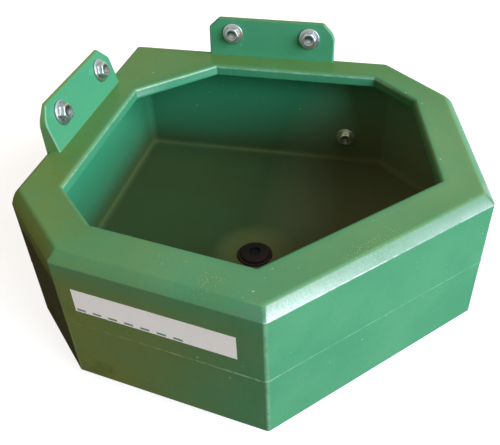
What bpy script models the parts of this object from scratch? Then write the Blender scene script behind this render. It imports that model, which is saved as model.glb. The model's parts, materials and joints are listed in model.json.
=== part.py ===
"""Corner feed manger: a rotationally moulded feed bowl, screwed into the corner of a stable.

The origin is where the room's two walls meet, level with the bowl's underside. +X runs along the
back wall, -Y along the left wall and +Z is up, so the room's corner line is the Z axis. The bowl
is symmetric about the vertical plane that halves the corner. All sizes are in metres.
"""
import math

import bmesh
import bpy
from mathutils import Matrix, Vector

# Bowl, seen from above
WALL_SIDE = 0.3712         # length of the bowl along each wall
END_CUT = 0.0776           # the short 45 degree sides, measured along the wall
FRONT_REACH = 0.4877       # from a wall to the far corner of the front side
FRONT_NEAR = 0.2893        # from a wall to the near corner of the front side
ROOM_CORNER_ROUND = 0.003  # radius of the upright edge in the room's corner
UPPER_CORNER_ROUND = 0.006  # radius of the other upright edges, above the mould seam
LOWER_CORNER_ROUND = 0.004  # and below it
INNER_CORNER_ROUND = 0.010  # radius of the upright corners inside

# Bowl, in section
HEIGHT = 0.166             # underside to rim
SHELL = 0.005              # thickness of the moulding
DRAFT = 0.0002             # how far the free sides draw in from bevel to underside
BEVEL = 0.0105             # width and depth of the 45 degree bevel round the free sides
BASE_ROUND = 0.001         # crisp bottom edge
BEVEL_LOW_ROUND = 0.0015   # crisp lower edge of the bevel
BEVEL_TOP_ROUND = 0.007    # soft upper edge of the bevel
WALL_TOP_ROUND = 0.007     # top edge along the walls
FLOOR_FILLET = 0.009       # inside, between floor and sides
CEILING_FILLET = 0.003     # inside, under the rim

# Mould seam
SEAM_HEIGHT = 0.0765
SEAM_STEP = 0.0003         # the lower half stands in by this much
SEAM_RIDGE = 0.0016        # height of the trimmed flash
SEAM_PROUD = 0.0004        # how far the flash stands out
SEAM_FLANK = 0.0004        # height of the flash's upper and lower slopes

# Mouth and its turned-down lip
RIM_AT_WALL = 0.047        # rim width beside the walls
RIM_AT_ENDS = 0.0498       # and along the 45 degree ends
RIM_AT_SIDES = 0.0515      # the sides next to them
RIM_AT_FRONT = 0.0528      # and the front side
MOUTH_CUT = 0.1265         # from the room's corner to the mouth's cut corner
MOUTH_CORNER_ROUND = 0.005
LIP_DEPTH = 0.0148         # rim to the lip's lower edge
LIP_ROUND = 0.0045         # rounded top edge of the lip
LIP_FILLET = 0.004         # under the rim, where the lip leaves it

# Drain in the floor
DRAIN_FROM_LEFT = 0.222    # left wall to the drain's centre
DRAIN_FROM_BACK = 0.239    # and from the back wall: the hole was cut off the middle
DISH_RADIUS = 0.052
DISH_FLAT = 0.029          # radius of the flat round the hole
DISH_DEPTH = 0.004
DISH_SPREAD = 0.001        # the dish is this much wider underneath
DRAIN_HOLE_RADIUS = 0.019

# Fixing tabs, measured along the wall from the room's corner
TAB_CENTRE = 0.201
TAB_LENGTH = 0.175
TAB_HEIGHT = 0.0513
TAB_THICK = 0.011
TAB_NEAR_CUT = 0.0145      # cut corner at the end beside the room's corner, along the tab
TAB_NEAR_DROP = 0.013      # and down its end
TAB_FAR_CUT = 0.0155       # cut corner at the other end
TAB_FAR_DROP = 0.0165
TAB_NEAR_ROUND = 0.0015    # crisp corners at the near end
TAB_FAR_TOP_ROUND = 0.006  # softer ones at the far end
TAB_FAR_LOW_ROUND = 0.018
TAB_EDGE_ROUND = 0.0012
TAB_EDGE_STEPS = 2
TAB_EDGES_ABOVE = math.radians(60.0)  # only edges this sharp are rounded
TAB_ROOT = 0.0045          # how deep the tab runs into the rim
TAB_SCREW_SPACING = 0.107
TAB_SCREW_HEIGHT = 0.0308  # above the rim

# Screws, washers and their holes
WALL_SCREW_ALONG = 0.312   # the low screw, along the wall
WALL_SCREW_HEIGHT = 0.045
HOLE_RADIUS = 0.0055
SHANK_RADIUS = 0.0048
SCREW_LENGTH = 0.025       # under the head
SCREW_END_CHAMFER = 0.0013
HEAD_FLATS = 0.017
HEAD_THICK = 0.0068
HEAD_FACE_RADIUS = 0.008   # inside the head's chamfer
HEAD_DISH_RADIUS = 0.0058
HEAD_DISH_FLOOR = 0.0041
HEAD_DISH_DEPTH = 0.0007
HEX_CHAMFER = math.radians(30.0)
WASHER_RADIUS = 0.014
WASHER_BORE = 0.0054
WASHER_THICK = 0.0025
WASHER_EDGE = 0.0004

# Drain fitting
BUSH_FLANGE_RADIUS = 0.0222
BUSH_FLANGE_THICK = 0.002
BUSH_EDGE = 0.0008         # bevelled edge of the flange
BUSH_WALL = 0.003
BUSH_TAIL = 0.0175         # below the floor
BUSH_CLEARANCE = 0.0005    # round the bush in the floor's hole
GASKET_RADIUS = 0.026
GASKET_THICK = 0.002
NUT_FLATS = 0.050
NUT_THICK = 0.008
PLUG_HEAD_RADIUS = 0.0195
PLUG_HEAD_THICK = 0.003
PLUG_HEAD_EDGE = 0.0008
PLUG_HUB_RADIUS = 0.0105
PLUG_HUB_RISE = 0.0022
PLUG_DIMPLE_RADIUS = 0.0069
PLUG_DIMPLE_FLOOR = 0.0063
PLUG_DIMPLE_DEPTH = 0.0035
PLUG_STEM_TAPER = 0.0012
PLUG_STEM_LENGTH = 0.014
PLUG_CLEARANCE = 0.0005    # round the stem in the bush

GAP = 0.0003               # between touching pieces

# Smoothness of round stretches
CORNER_STEPS = 4
FILLET_STEPS = 4
SMALL_STEPS = 2
DRAIN_SEGMENTS = 48
FASTENER_SEGMENTS = 32
SMOOTH_BELOW = math.radians(30.0)

DIAGONAL = math.sqrt(2.0)
HALF_BEVEL_TURN = math.tan(math.radians(45.0 / 2.0))  # tangent length of a round at the bevel
RIM_WIDTHS = (RIM_AT_WALL, RIM_AT_ENDS, RIM_AT_SIDES, RIM_AT_FRONT, RIM_AT_SIDES, RIM_AT_ENDS, RIM_AT_WALL)
GREEN = (0.075, 0.36, 0.16)
ZINC = (0.56, 0.57, 0.58)
BLACK = (0.02, 0.019, 0.018)


def clear_scene():
    for item in list(bpy.data.objects):
        bpy.data.objects.remove(item, do_unlink=True)


def new_collection(name):
    group = bpy.data.collections.new(name)
    bpy.context.scene.collection.children.link(group)
    return group


def new_material(name, colour, roughness, metallic):
    material = bpy.data.materials.new(name)
    material.use_nodes = True
    shader = material.node_tree.nodes["Principled BSDF"]
    shader.inputs["Base Color"].default_value = (*colour, 1.0)
    shader.inputs["Roughness"].default_value = roughness
    shader.inputs["Metallic"].default_value = metallic
    material.diffuse_color = (*colour, 1.0)
    return material


def new_object(name, mesh, group):
    item = bpy.data.objects.new(name, mesh)
    group.objects.link(item)
    return item


def as_cutter(item):
    item.hide_render = True
    item.display_type = "WIRE"
    return item


def boolean(item, operation, operand):
    modifier = item.modifiers.new(operation.title(), "BOOLEAN")
    modifier.operation = operation
    modifier.object = operand
    modifier.solver = "EXACT"


# Outlines in plan


def bowl_corners(insets):
    """The bowl's seven corners, each side drawn in by its inset, clockwise from the room's corner."""
    far_wall = WALL_SIDE + END_CUT
    corners = [Vector(point) for point in (
        (0.0, 0.0), (WALL_SIDE, 0.0), (far_wall, -END_CUT), (FRONT_REACH, -FRONT_NEAR),
        (FRONT_NEAR, -FRONT_REACH), (END_CUT, -far_wall), (0.0, -WALL_SIDE))]
    sides = []
    for index, corner in enumerate(corners):
        along = (corners[(index + 1) % len(corners)] - corner).normalized()
        inward = Vector((along.y, -along.x))
        sides.append((corner + inward * insets[index], along))
    return [meeting_point(sides[index - 1], sides[index]) for index in range(len(sides))]


def meeting_point(first, second):
    """Where two lines, each a point and a direction, cross."""
    (start, along), (other, across) = first, second
    reach = (other - start).cross(across) / along.cross(across)
    return start + along * reach


def mouth_corners(outset):
    """The mouth's eight corners, moved outwards by outset from the edge of the opening."""
    corners = bowl_corners([width - outset for width in RIM_WIDTHS])
    beside = RIM_AT_WALL - outset
    far = (MOUTH_CUT - outset) * DIAGONAL - beside
    return [Vector((beside, -far)), Vector((far, -beside))] + corners[1:]


def rounded(corners, radii):
    """The clockwise outline with each corner of some radius turned into an arc."""
    points = []
    for index, corner in enumerate(corners):
        if radii[index] == 0.0:
            points.append(corner)
            continue
        back = (corners[index - 1] - corner).normalized()
        ahead = (corners[(index + 1) % len(corners)] - corner).normalized()
        half = back.angle(ahead) / 2.0
        radius = radii[index]
        centre = corner + (back + ahead).normalized() * (radius / math.sin(half))
        first = corner + back * (radius / math.tan(half)) - centre
        turn = -(math.pi - 2.0 * half) / CORNER_STEPS
        for step in range(CORNER_STEPS + 1):
            points.append(centre + Matrix.Rotation(turn * step, 2) @ first)
    return points


def bowl_ring(free_inset, wall_inset, corner_round, room_round):
    insets = [wall_inset] + [free_inset] * (len(RIM_WIDTHS) - 2) + [wall_inset]
    radii = [room_round] + [corner_round] * (len(insets) - 1)
    return rounded(bowl_corners(insets), radii)


def circle(centre, radius, segments):
    angles = [2.0 * math.pi * step / segments for step in range(segments)]
    return [centre + Vector((math.cos(angle), math.sin(angle))) * radius for angle in angles]


# Sections of the bowl, each a list of (outline, height)


def arc_angles(start, end, steps=FILLET_STEPS):
    return [math.radians(start + (end - start) * step / steps) for step in range(steps + 1)]


def draft_inset(height):
    """How far a free side stands in at a height, below the bevel."""
    return DRAFT * (1.0 - height / (HEIGHT - BEVEL))


def wall_top_inset(height):
    """The rounding of the top edge along the walls."""
    above = height - (HEIGHT - WALL_TOP_ROUND)
    if above <= 0.0:
        return 0.0
    return WALL_TOP_ROUND - math.sqrt(max(WALL_TOP_ROUND ** 2 - above ** 2, 0.0))


def outside_rings():
    """From the underside up to the rim."""
    rings = []
    for angle in arc_angles(0.0, 90.0):
        height = BASE_ROUND * (1.0 - math.cos(angle))
        inset = BASE_ROUND * (1.0 - math.sin(angle))
        free = draft_inset(height) + SEAM_STEP + inset
        rings.append((bowl_ring(free, inset, LOWER_CORNER_ROUND, ROOM_CORNER_ROUND), height))
    seam = draft_inset(SEAM_HEIGHT)
    rings.append((bowl_ring(seam + SEAM_STEP, 0.0, LOWER_CORNER_ROUND, ROOM_CORNER_ROUND), SEAM_HEIGHT))
    for proud, above in ((SEAM_PROUD, SEAM_FLANK), (SEAM_PROUD, SEAM_RIDGE - SEAM_FLANK), (0.0, SEAM_RIDGE)):
        ring = bowl_ring(seam - proud, 0.0, UPPER_CORNER_ROUND, ROOM_CORNER_ROUND)
        rings.append((ring, SEAM_HEIGHT + above))
    sections = []
    for angle in arc_angles(180.0, 135.0, SMALL_STEPS):
        height = HEIGHT - BEVEL - BEVEL_LOW_ROUND * (HALF_BEVEL_TURN - math.sin(angle))
        sections.append((BEVEL_LOW_ROUND * (1.0 + math.cos(angle)), height))
    for angle in arc_angles(0.0, 30.0, SMALL_STEPS):
        height = HEIGHT - WALL_TOP_ROUND * (1.0 - math.sin(angle))
        sections.append((height - HEIGHT + BEVEL, height))
    for angle in arc_angles(135.0, 90.0):
        height = HEIGHT - BEVEL_TOP_ROUND * (1.0 - math.sin(angle))
        sections.append((BEVEL + BEVEL_TOP_ROUND * (HALF_BEVEL_TURN + math.cos(angle)), height))
    for free, height in sections:
        ring = bowl_ring(free, wall_top_inset(height), UPPER_CORNER_ROUND, ROOM_CORNER_ROUND)
        rings.append((ring, height))
    return rings


def mouth_rings():
    """From the rim over the lip's edge, down its face, round its lower edge and up its back."""
    sections = []
    for angle in arc_angles(90.0, 0.0):
        height = HEIGHT - LIP_ROUND * (1.0 - math.sin(angle))
        sections.append((LIP_ROUND * (1.0 - math.cos(angle)), height))
    half = SHELL / 2.0
    low = HEIGHT - LIP_DEPTH + half
    for angle in arc_angles(180.0, 360.0):
        sections.append((half * (1.0 + math.cos(angle)), low + half * math.sin(angle)))
    under = HEIGHT - SHELL
    for angle in arc_angles(180.0, 90.0, SMALL_STEPS):
        height = under - LIP_FILLET * (1.0 - math.sin(angle))
        sections.append((SHELL + LIP_FILLET * (1.0 + math.cos(angle)), height))
    rings = []
    for outset, height in sections:
        corners = mouth_corners(outset)
        rings.append((rounded(corners, [MOUTH_CORNER_ROUND + outset] * len(corners)), height))
    return rings


def inside_rings():
    """From under the rim down to the floor."""
    under = HEIGHT - SHELL
    slope = SHELL * (DIAGONAL - 1.0)
    sections = [(BEVEL + slope, SHELL + CEILING_FILLET, under),
                (BEVEL + slope - CEILING_FILLET, SHELL, under - CEILING_FILLET),
                (SHELL, SHELL, HEIGHT - BEVEL - slope),
                (SHELL + draft_inset(SEAM_HEIGHT), SHELL, SEAM_HEIGHT)]
    for angle in arc_angles(180.0, 270.0):
        height = SHELL + FLOOR_FILLET * (1.0 + math.sin(angle))
        push = FLOOR_FILLET * (1.0 + math.cos(angle))
        sections.append((SHELL + draft_inset(height) + push, SHELL + push, height))
    return [(bowl_ring(free, wall, INNER_CORNER_ROUND, INNER_CORNER_ROUND), height)
            for free, wall, height in sections]


def dish_rings():
    """From the floor down into the dish, through the drain hole and back out underneath."""
    centre = Vector((DRAIN_FROM_LEFT, -DRAIN_FROM_BACK))
    sections = []
    for level, spread in ((SHELL, 0.0), (0.0, DISH_SPREAD)):
        side = []
        for step in range(FILLET_STEPS + 1):
            share = step / FILLET_STEPS
            radius = DISH_RADIUS + spread + (DISH_FLAT - DISH_RADIUS) * share
            drop = DISH_DEPTH * (1.0 - math.cos(math.pi * share)) / 2.0
            side.append((radius, level - drop))
        side.append((DRAIN_HOLE_RADIUS, level - DISH_DEPTH))
        sections.append(side)
    down = sections[0] + sections[1][::-1]
    return [(circle(centre, radius, DRAIN_SEGMENTS), height) for radius, height in down]


# Places on the walls


def facing_room(on_back_wall):
    """The turn that points a fastener's +Z away from its wall."""
    if on_back_wall:
        return Matrix.Rotation(math.radians(90.0), 4, "X")
    return Matrix.Rotation(math.radians(90.0), 4, "Y")


def on_wall(on_back_wall, along, depth, height):
    """A point given by its distance along a wall, out from it and above the underside."""
    if on_back_wall:
        return Vector((along, -depth, height))
    return Vector((depth, -along, height))


# Mesh building


def add_rings(mesh, rings):
    """Loft the rings into a band, and return its first and last loops of vertices."""
    loops = [[mesh.verts.new((point.x, point.y, height)) for point in outline] for outline, height in rings]
    for lower, upper in zip(loops, loops[1:]):
        for index in range(len(lower)):
            after = (index + 1) % len(lower)
            mesh.faces.new((lower[index], lower[after], upper[after], upper[index]))
    return loops[0], loops[-1]


def fill_between(mesh, outer, inner):
    """Close a flat stretch between two loops."""
    edges = []
    for loop in (outer, inner):
        for index, vertex in enumerate(loop):
            edges.append(mesh.edges.get((vertex, loop[(index + 1) % len(loop)])))
    bmesh.ops.triangle_fill(mesh, use_beauty=True, use_dissolve=False, edges=edges)


def finished(mesh, name):
    bmesh.ops.recalc_face_normals(mesh, faces=mesh.faces)
    data = bpy.data.meshes.new(name)
    mesh.to_mesh(data)
    mesh.free()
    return data


def bowl_mesh():
    """The bare moulding as one skin: outside, rim, lip, inside, floor and drain hole."""
    mesh = bmesh.new()
    underside, rim = add_rings(mesh, outside_rings())
    mouth, behind_lip = add_rings(mesh, mouth_rings())
    ceiling, floor = add_rings(mesh, inside_rings())
    dish, under_dish = add_rings(mesh, dish_rings())
    fill_between(mesh, rim, mouth)
    fill_between(mesh, ceiling, behind_lip)
    fill_between(mesh, floor, dish)
    fill_between(mesh, underside, under_dish)
    return finished(mesh, "bowl")


def tab_outline():
    """A tab's outline, as points along the wall and above the rim."""
    near = TAB_CENTRE - TAB_LENGTH / 2.0
    far = TAB_CENTRE + TAB_LENGTH / 2.0
    corners = [Vector(point) for point in (
        (near, -TAB_ROOT), (near, TAB_HEIGHT - TAB_NEAR_DROP), (near + TAB_NEAR_CUT, TAB_HEIGHT),
        (far - TAB_FAR_CUT, TAB_HEIGHT), (far, TAB_HEIGHT - TAB_FAR_DROP), (far, -TAB_ROOT))]
    return rounded(corners, [0.0, TAB_NEAR_ROUND, TAB_NEAR_ROUND, TAB_FAR_TOP_ROUND, TAB_FAR_LOW_ROUND, 0.0])


def tab_mesh(on_back_wall):
    """One tab, standing flush with its wall."""
    mesh = bmesh.new()
    outline = tab_outline()
    face = mesh.faces.new([mesh.verts.new(on_wall(on_back_wall, point.x, 0.0, HEIGHT + point.y))
                           for point in outline])
    grown = bmesh.ops.extrude_face_region(mesh, geom=[face])["geom"]
    corners = [item for item in grown if isinstance(item, bmesh.types.BMVert)]
    bmesh.ops.translate(mesh, verts=corners, vec=on_wall(on_back_wall, 0.0, TAB_THICK, 0.0))
    return finished(mesh, "tab")


def turned(name, profile, segments, group, closed=False):
    """A turned solid from its (radius, height) profile, which runs down the outer side."""
    data = bpy.data.meshes.new(name)
    edges = [(index, index + 1) for index in range(len(profile) - 1)]
    if closed:
        edges.append((len(profile) - 1, 0))
    data.from_pydata([(radius, 0.0, height) for radius, height in profile], edges, [])
    item = new_object(name, data, group)
    screw = item.modifiers.new("Turn", "SCREW")
    screw.steps = segments
    screw.render_steps = segments
    screw.use_merge_vertices = True
    screw.merge_threshold = 0.00001
    return item


def hexagon(name, flats, low, high, group):
    """A hexagonal bar that trims a turned blank to its flats."""
    mesh = bmesh.new()
    radius = flats / math.sqrt(3.0)
    upright = Matrix.Translation((0.0, 0.0, (low + high) / 2.0))
    bmesh.ops.create_cone(mesh, cap_ends=True, segments=6, radius1=radius, radius2=radius,
                          depth=high - low, matrix=upright)
    return as_cutter(new_object(name, finished(mesh, name), group))


def settled_mesh(item, name):
    """The item's evaluated mesh, for copies to share; the item itself goes."""
    graph = bpy.context.evaluated_depsgraph_get()
    data = bpy.data.meshes.new_from_object(item.evaluated_get(graph))
    data.name = name
    data.materials.clear()
    bpy.data.objects.remove(item, do_unlink=True)
    data.shade_smooth()
    data.set_sharp_from_angle(angle=SMOOTH_BELOW)
    return data


# Pieces


def screw_mesh(group):
    """A short hex-head screw along Z: the head above zero, the shank below it."""
    blank_radius = HEAD_FLATS / math.sqrt(3.0) + GAP
    chamfer = (blank_radius - HEAD_FACE_RADIUS) * math.tan(HEX_CHAMFER)
    dish = HEAD_THICK - HEAD_DISH_DEPTH
    profile = [(0.0, dish), (HEAD_DISH_FLOOR, dish), (HEAD_DISH_RADIUS, HEAD_THICK),
               (HEAD_FACE_RADIUS, HEAD_THICK), (blank_radius, HEAD_THICK - chamfer), (blank_radius, 0.0),
               (SHANK_RADIUS, 0.0), (SHANK_RADIUS, SCREW_END_CHAMFER - SCREW_LENGTH),
               (SHANK_RADIUS - SCREW_END_CHAMFER, -SCREW_LENGTH), (0.0, -SCREW_LENGTH)]
    blank = turned("screw_blank", profile, FASTENER_SEGMENTS, group)
    bar = hexagon("screw_flats", HEAD_FLATS, -SCREW_LENGTH - GAP, HEAD_THICK + GAP, group)
    boolean(blank, "INTERSECT", bar)
    data = settled_mesh(blank, "screw")
    bpy.data.objects.remove(bar, do_unlink=True)
    return data


def washer_mesh(group):
    """A flat washer along Z, from zero up."""
    top = WASHER_THICK
    profile = [(WASHER_BORE, top), (WASHER_RADIUS - WASHER_EDGE, top), (WASHER_RADIUS, top - WASHER_EDGE),
               (WASHER_RADIUS, 0.0), (WASHER_BORE, 0.0)]
    return settled_mesh(turned("washer_blank", profile, FASTENER_SEGMENTS, group, closed=True), "washer")


def fixings():
    """Every screw's name, wall, place and the thickness that it clamps."""
    tab_level = HEIGHT + TAB_SCREW_HEIGHT
    places = []
    for side, on_back_wall in (("back", True), ("left", False)):
        for where, sign in (("corner", -1.0), ("end", 1.0)):
            along = TAB_CENTRE + sign * TAB_SCREW_SPACING / 2.0
            places.append((f"{side}_tab_{{}}_{where}", on_back_wall, along, tab_level, TAB_THICK))
        places.append((f"{side}_wall_{{}}", on_back_wall, WALL_SCREW_ALONG, WALL_SCREW_HEIGHT, SHELL))
    return places


def add_fasteners(parts, zinc, root):
    screw, washer = screw_mesh(parts), washer_mesh(parts)
    for data in (screw, washer):
        data.materials.append(zinc)
    for name, on_back_wall, along, height, clamped in fixings():
        turn = facing_room(on_back_wall)
        seat = clamped + GAP
        under_head = seat + WASHER_THICK + GAP
        for kind, data, depth in (("washer", washer, seat), ("screw", screw, under_head)):
            item = new_object(name.format(kind), data, parts)
            item.parent = root
            item.matrix_local = Matrix.Translation(on_wall(on_back_wall, along, depth, height)) @ turn


def add_bowl(parts, cutters, green, root):
    bowl = new_object("manger_body", bowl_mesh(), parts)
    bowl.parent = root
    for side, on_back_wall in (("back", True), ("left", False)):
        tab = as_cutter(new_object(f"{side}_tab_form", tab_mesh(on_back_wall), cutters))
        rounding = tab.modifiers.new("Edges", "BEVEL")
        rounding.width = TAB_EDGE_ROUND
        rounding.segments = TAB_EDGE_STEPS
        rounding.limit_method = "ANGLE"
        rounding.angle_limit = TAB_EDGES_ABOVE
        boolean(bowl, "UNION", tab)
    for name, on_back_wall, along, height, clamped in fixings():
        mesh = bmesh.new()
        reach = clamped + 2.0 * SHELL
        centre = on_wall(on_back_wall, along, clamped / 2.0, height)
        place = Matrix.Translation(centre) @ facing_room(on_back_wall)
        bmesh.ops.create_cone(mesh, cap_ends=True, segments=FASTENER_SEGMENTS, radius1=HOLE_RADIUS,
                              radius2=HOLE_RADIUS, depth=reach, matrix=place)
        drill = as_cutter(new_object(name.format("hole"), finished(mesh, "hole"), cutters))
        boolean(bowl, "DIFFERENCE", drill)
    bowl.data.materials.append(green)
    bowl.data.shade_smooth()
    bowl.data.set_sharp_from_angle(angle=SMOOTH_BELOW)


def add_drain(parts, cutters, black, rubber, root):
    """The outlet, stacked down the drain's axis from the top of its flange."""
    seat = SHELL - DISH_DEPTH + GAP
    flange_top = seat + BUSH_FLANGE_THICK
    tube = DRAIN_HOLE_RADIUS - BUSH_CLEARANCE
    bore = tube - BUSH_WALL
    tail = -DISH_DEPTH - BUSH_TAIL
    bush = [(bore, flange_top), (BUSH_FLANGE_RADIUS - BUSH_EDGE, flange_top),
            (BUSH_FLANGE_RADIUS, flange_top - BUSH_EDGE), (BUSH_FLANGE_RADIUS, seat), (tube, seat),
            (tube, tail), (bore, tail)]
    gasket_top = -DISH_DEPTH - GAP
    gasket_low = gasket_top - GASKET_THICK
    gasket = [(tube + GAP, gasket_top), (GASKET_RADIUS, gasket_top), (GASKET_RADIUS, gasket_low),
              (tube + GAP, gasket_low)]
    nut_top = gasket_low - GAP
    nut_low = nut_top - NUT_THICK
    nut_face = NUT_FLATS / 2.0
    nut_blank = NUT_FLATS / math.sqrt(3.0) + GAP
    nut_edge = (nut_blank - nut_face) * math.tan(HEX_CHAMFER)
    nut = [(tube + GAP, nut_top), (nut_face, nut_top), (nut_blank, nut_top - nut_edge),
           (nut_blank, nut_low + nut_edge), (nut_face, nut_low), (tube + GAP, nut_low)]
    head_low = flange_top + GAP
    head_top = head_low + PLUG_HEAD_THICK
    hub_top = head_top + PLUG_HUB_RISE
    stem = bore - PLUG_CLEARANCE
    plug = [(0.0, hub_top - PLUG_DIMPLE_DEPTH), (PLUG_DIMPLE_FLOOR, hub_top - PLUG_DIMPLE_DEPTH),
            (PLUG_DIMPLE_RADIUS, hub_top), (PLUG_HUB_RADIUS, hub_top),
            (PLUG_HUB_RADIUS + PLUG_HUB_RISE, head_top), (PLUG_HEAD_RADIUS - PLUG_HEAD_EDGE, head_top),
            (PLUG_HEAD_RADIUS, head_top - PLUG_HEAD_EDGE),
            (PLUG_HEAD_RADIUS, head_low), (stem, head_low),
            (stem - PLUG_STEM_TAPER, head_low - PLUG_STEM_LENGTH), (0.0, head_low - PLUG_STEM_LENGTH)]
    place = Matrix.Translation((DRAIN_FROM_LEFT, -DRAIN_FROM_BACK, 0.0))
    for name, profile, closed, material in (("drain_bush", bush, True, black),
                                            ("drain_gasket", gasket, True, rubber),
                                            ("drain_locknut", nut, True, black),
                                            ("drain_plug", plug, False, rubber)):
        item = turned(name, profile, DRAIN_SEGMENTS, parts, closed)
        item.data.materials.append(material)
        item.parent = root
        item.matrix_local = place
        if name == "drain_locknut":
            flats = hexagon("locknut_flats", NUT_FLATS, nut_low - GAP, nut_top + GAP, cutters)
            flats.matrix_local = place
            boolean(item, "INTERSECT", flats)


def main():
    clear_scene()
    parts = new_collection("corner_feed_manger")
    cutters = new_collection("manger_cutters")
    root = new_object("manger", None, parts)
    green = new_material("green_polyethylene", GREEN, 0.45, 0.0)
    zinc = new_material("zinc_plate", ZINC, 0.35, 1.0)
    black = new_material("black_plastic", BLACK, 0.5, 0.0)
    rubber = new_material("black_rubber", BLACK, 0.7, 0.0)
    add_bowl(parts, cutters, green, root)
    add_fasteners(parts, zinc, root)
    add_drain(parts, cutters, black, rubber, root)


main()
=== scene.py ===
"""The looks of the corner feed manger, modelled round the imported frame.

The frame's axes hold here: the origin is where the room's two walls meet, level with the bowl's
underside, +X runs along the back wall, -Y along the left wall and +Z is up. Lengths are in metres.
"""
from __future__ import annotations

import json
import logging
import math
from collections.abc import Callable, Iterable, Sequence
from dataclasses import dataclass, field
from enum import Enum

import bmesh
import bpy
from mathutils import Matrix, Vector, noise

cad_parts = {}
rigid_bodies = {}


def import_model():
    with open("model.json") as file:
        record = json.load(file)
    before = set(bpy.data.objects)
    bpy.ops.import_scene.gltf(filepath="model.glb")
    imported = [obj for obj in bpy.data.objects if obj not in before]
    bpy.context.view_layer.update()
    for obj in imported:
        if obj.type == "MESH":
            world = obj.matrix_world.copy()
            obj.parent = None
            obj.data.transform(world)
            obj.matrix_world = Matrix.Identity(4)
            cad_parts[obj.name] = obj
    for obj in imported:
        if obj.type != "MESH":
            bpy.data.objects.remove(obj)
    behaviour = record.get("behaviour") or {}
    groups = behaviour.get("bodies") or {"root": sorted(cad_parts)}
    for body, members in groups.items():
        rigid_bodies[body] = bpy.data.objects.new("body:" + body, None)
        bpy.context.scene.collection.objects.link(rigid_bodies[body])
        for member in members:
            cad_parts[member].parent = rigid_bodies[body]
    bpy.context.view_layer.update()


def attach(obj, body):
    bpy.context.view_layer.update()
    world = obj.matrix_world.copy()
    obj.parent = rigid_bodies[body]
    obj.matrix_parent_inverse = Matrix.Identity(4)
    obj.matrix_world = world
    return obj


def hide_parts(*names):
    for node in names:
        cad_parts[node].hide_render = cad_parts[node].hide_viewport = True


Socket = bpy.types.NodeSocket
Pair = tuple[float, float]
Colour = tuple[float, float, float, float]
Profile = Sequence[Pair]
Input = Socket | str | float | tuple

LOG = logging.getLogger("manger")
PHOTO_WIDTH = 500
PHOTO_HEIGHT = 445
DIAGONAL = math.sqrt(2.0)
HEX_CORNER = 2.0 / math.sqrt(3.0)
SMOOTH_BELOW = math.radians(32.0)
MERGE_BELOW = 1e-6

RIM_HEIGHT = 0.166
SHELL = 0.005
TAB_RISE = 0.0513
TAB_SCREWS_ALONG = (0.1475, 0.2545)
TAB_SCREWS_ABOVE = 0.0308
LOW_SCREW = (0.312, 0.045)
DRAIN = (0.222, -0.239)
BOWL_MIDDLE = (0.24, -0.24)


# Hand tools


def clamp(value: float) -> float:
    """The value, held between 0 and 1."""
    return min(max(value, 0.0), 1.0)


def leave_edit() -> None:
    """Go back to object mode, whatever was being edited."""
    if bpy.context.object is not None and bpy.context.object.mode != "OBJECT":
        bpy.ops.object.mode_set(mode="OBJECT")


def deselect_all() -> None:
    """Leave edit mode and let go of every object."""
    leave_edit()
    bpy.ops.object.select_all(action="DESELECT")


def sweep(start: float, end: float, steps: int) -> list[float]:
    """The steps + 1 angles in radians of an arc given in degrees."""
    return [math.radians(start + (end - start) * step / steps) for step in range(steps + 1)]


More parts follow.
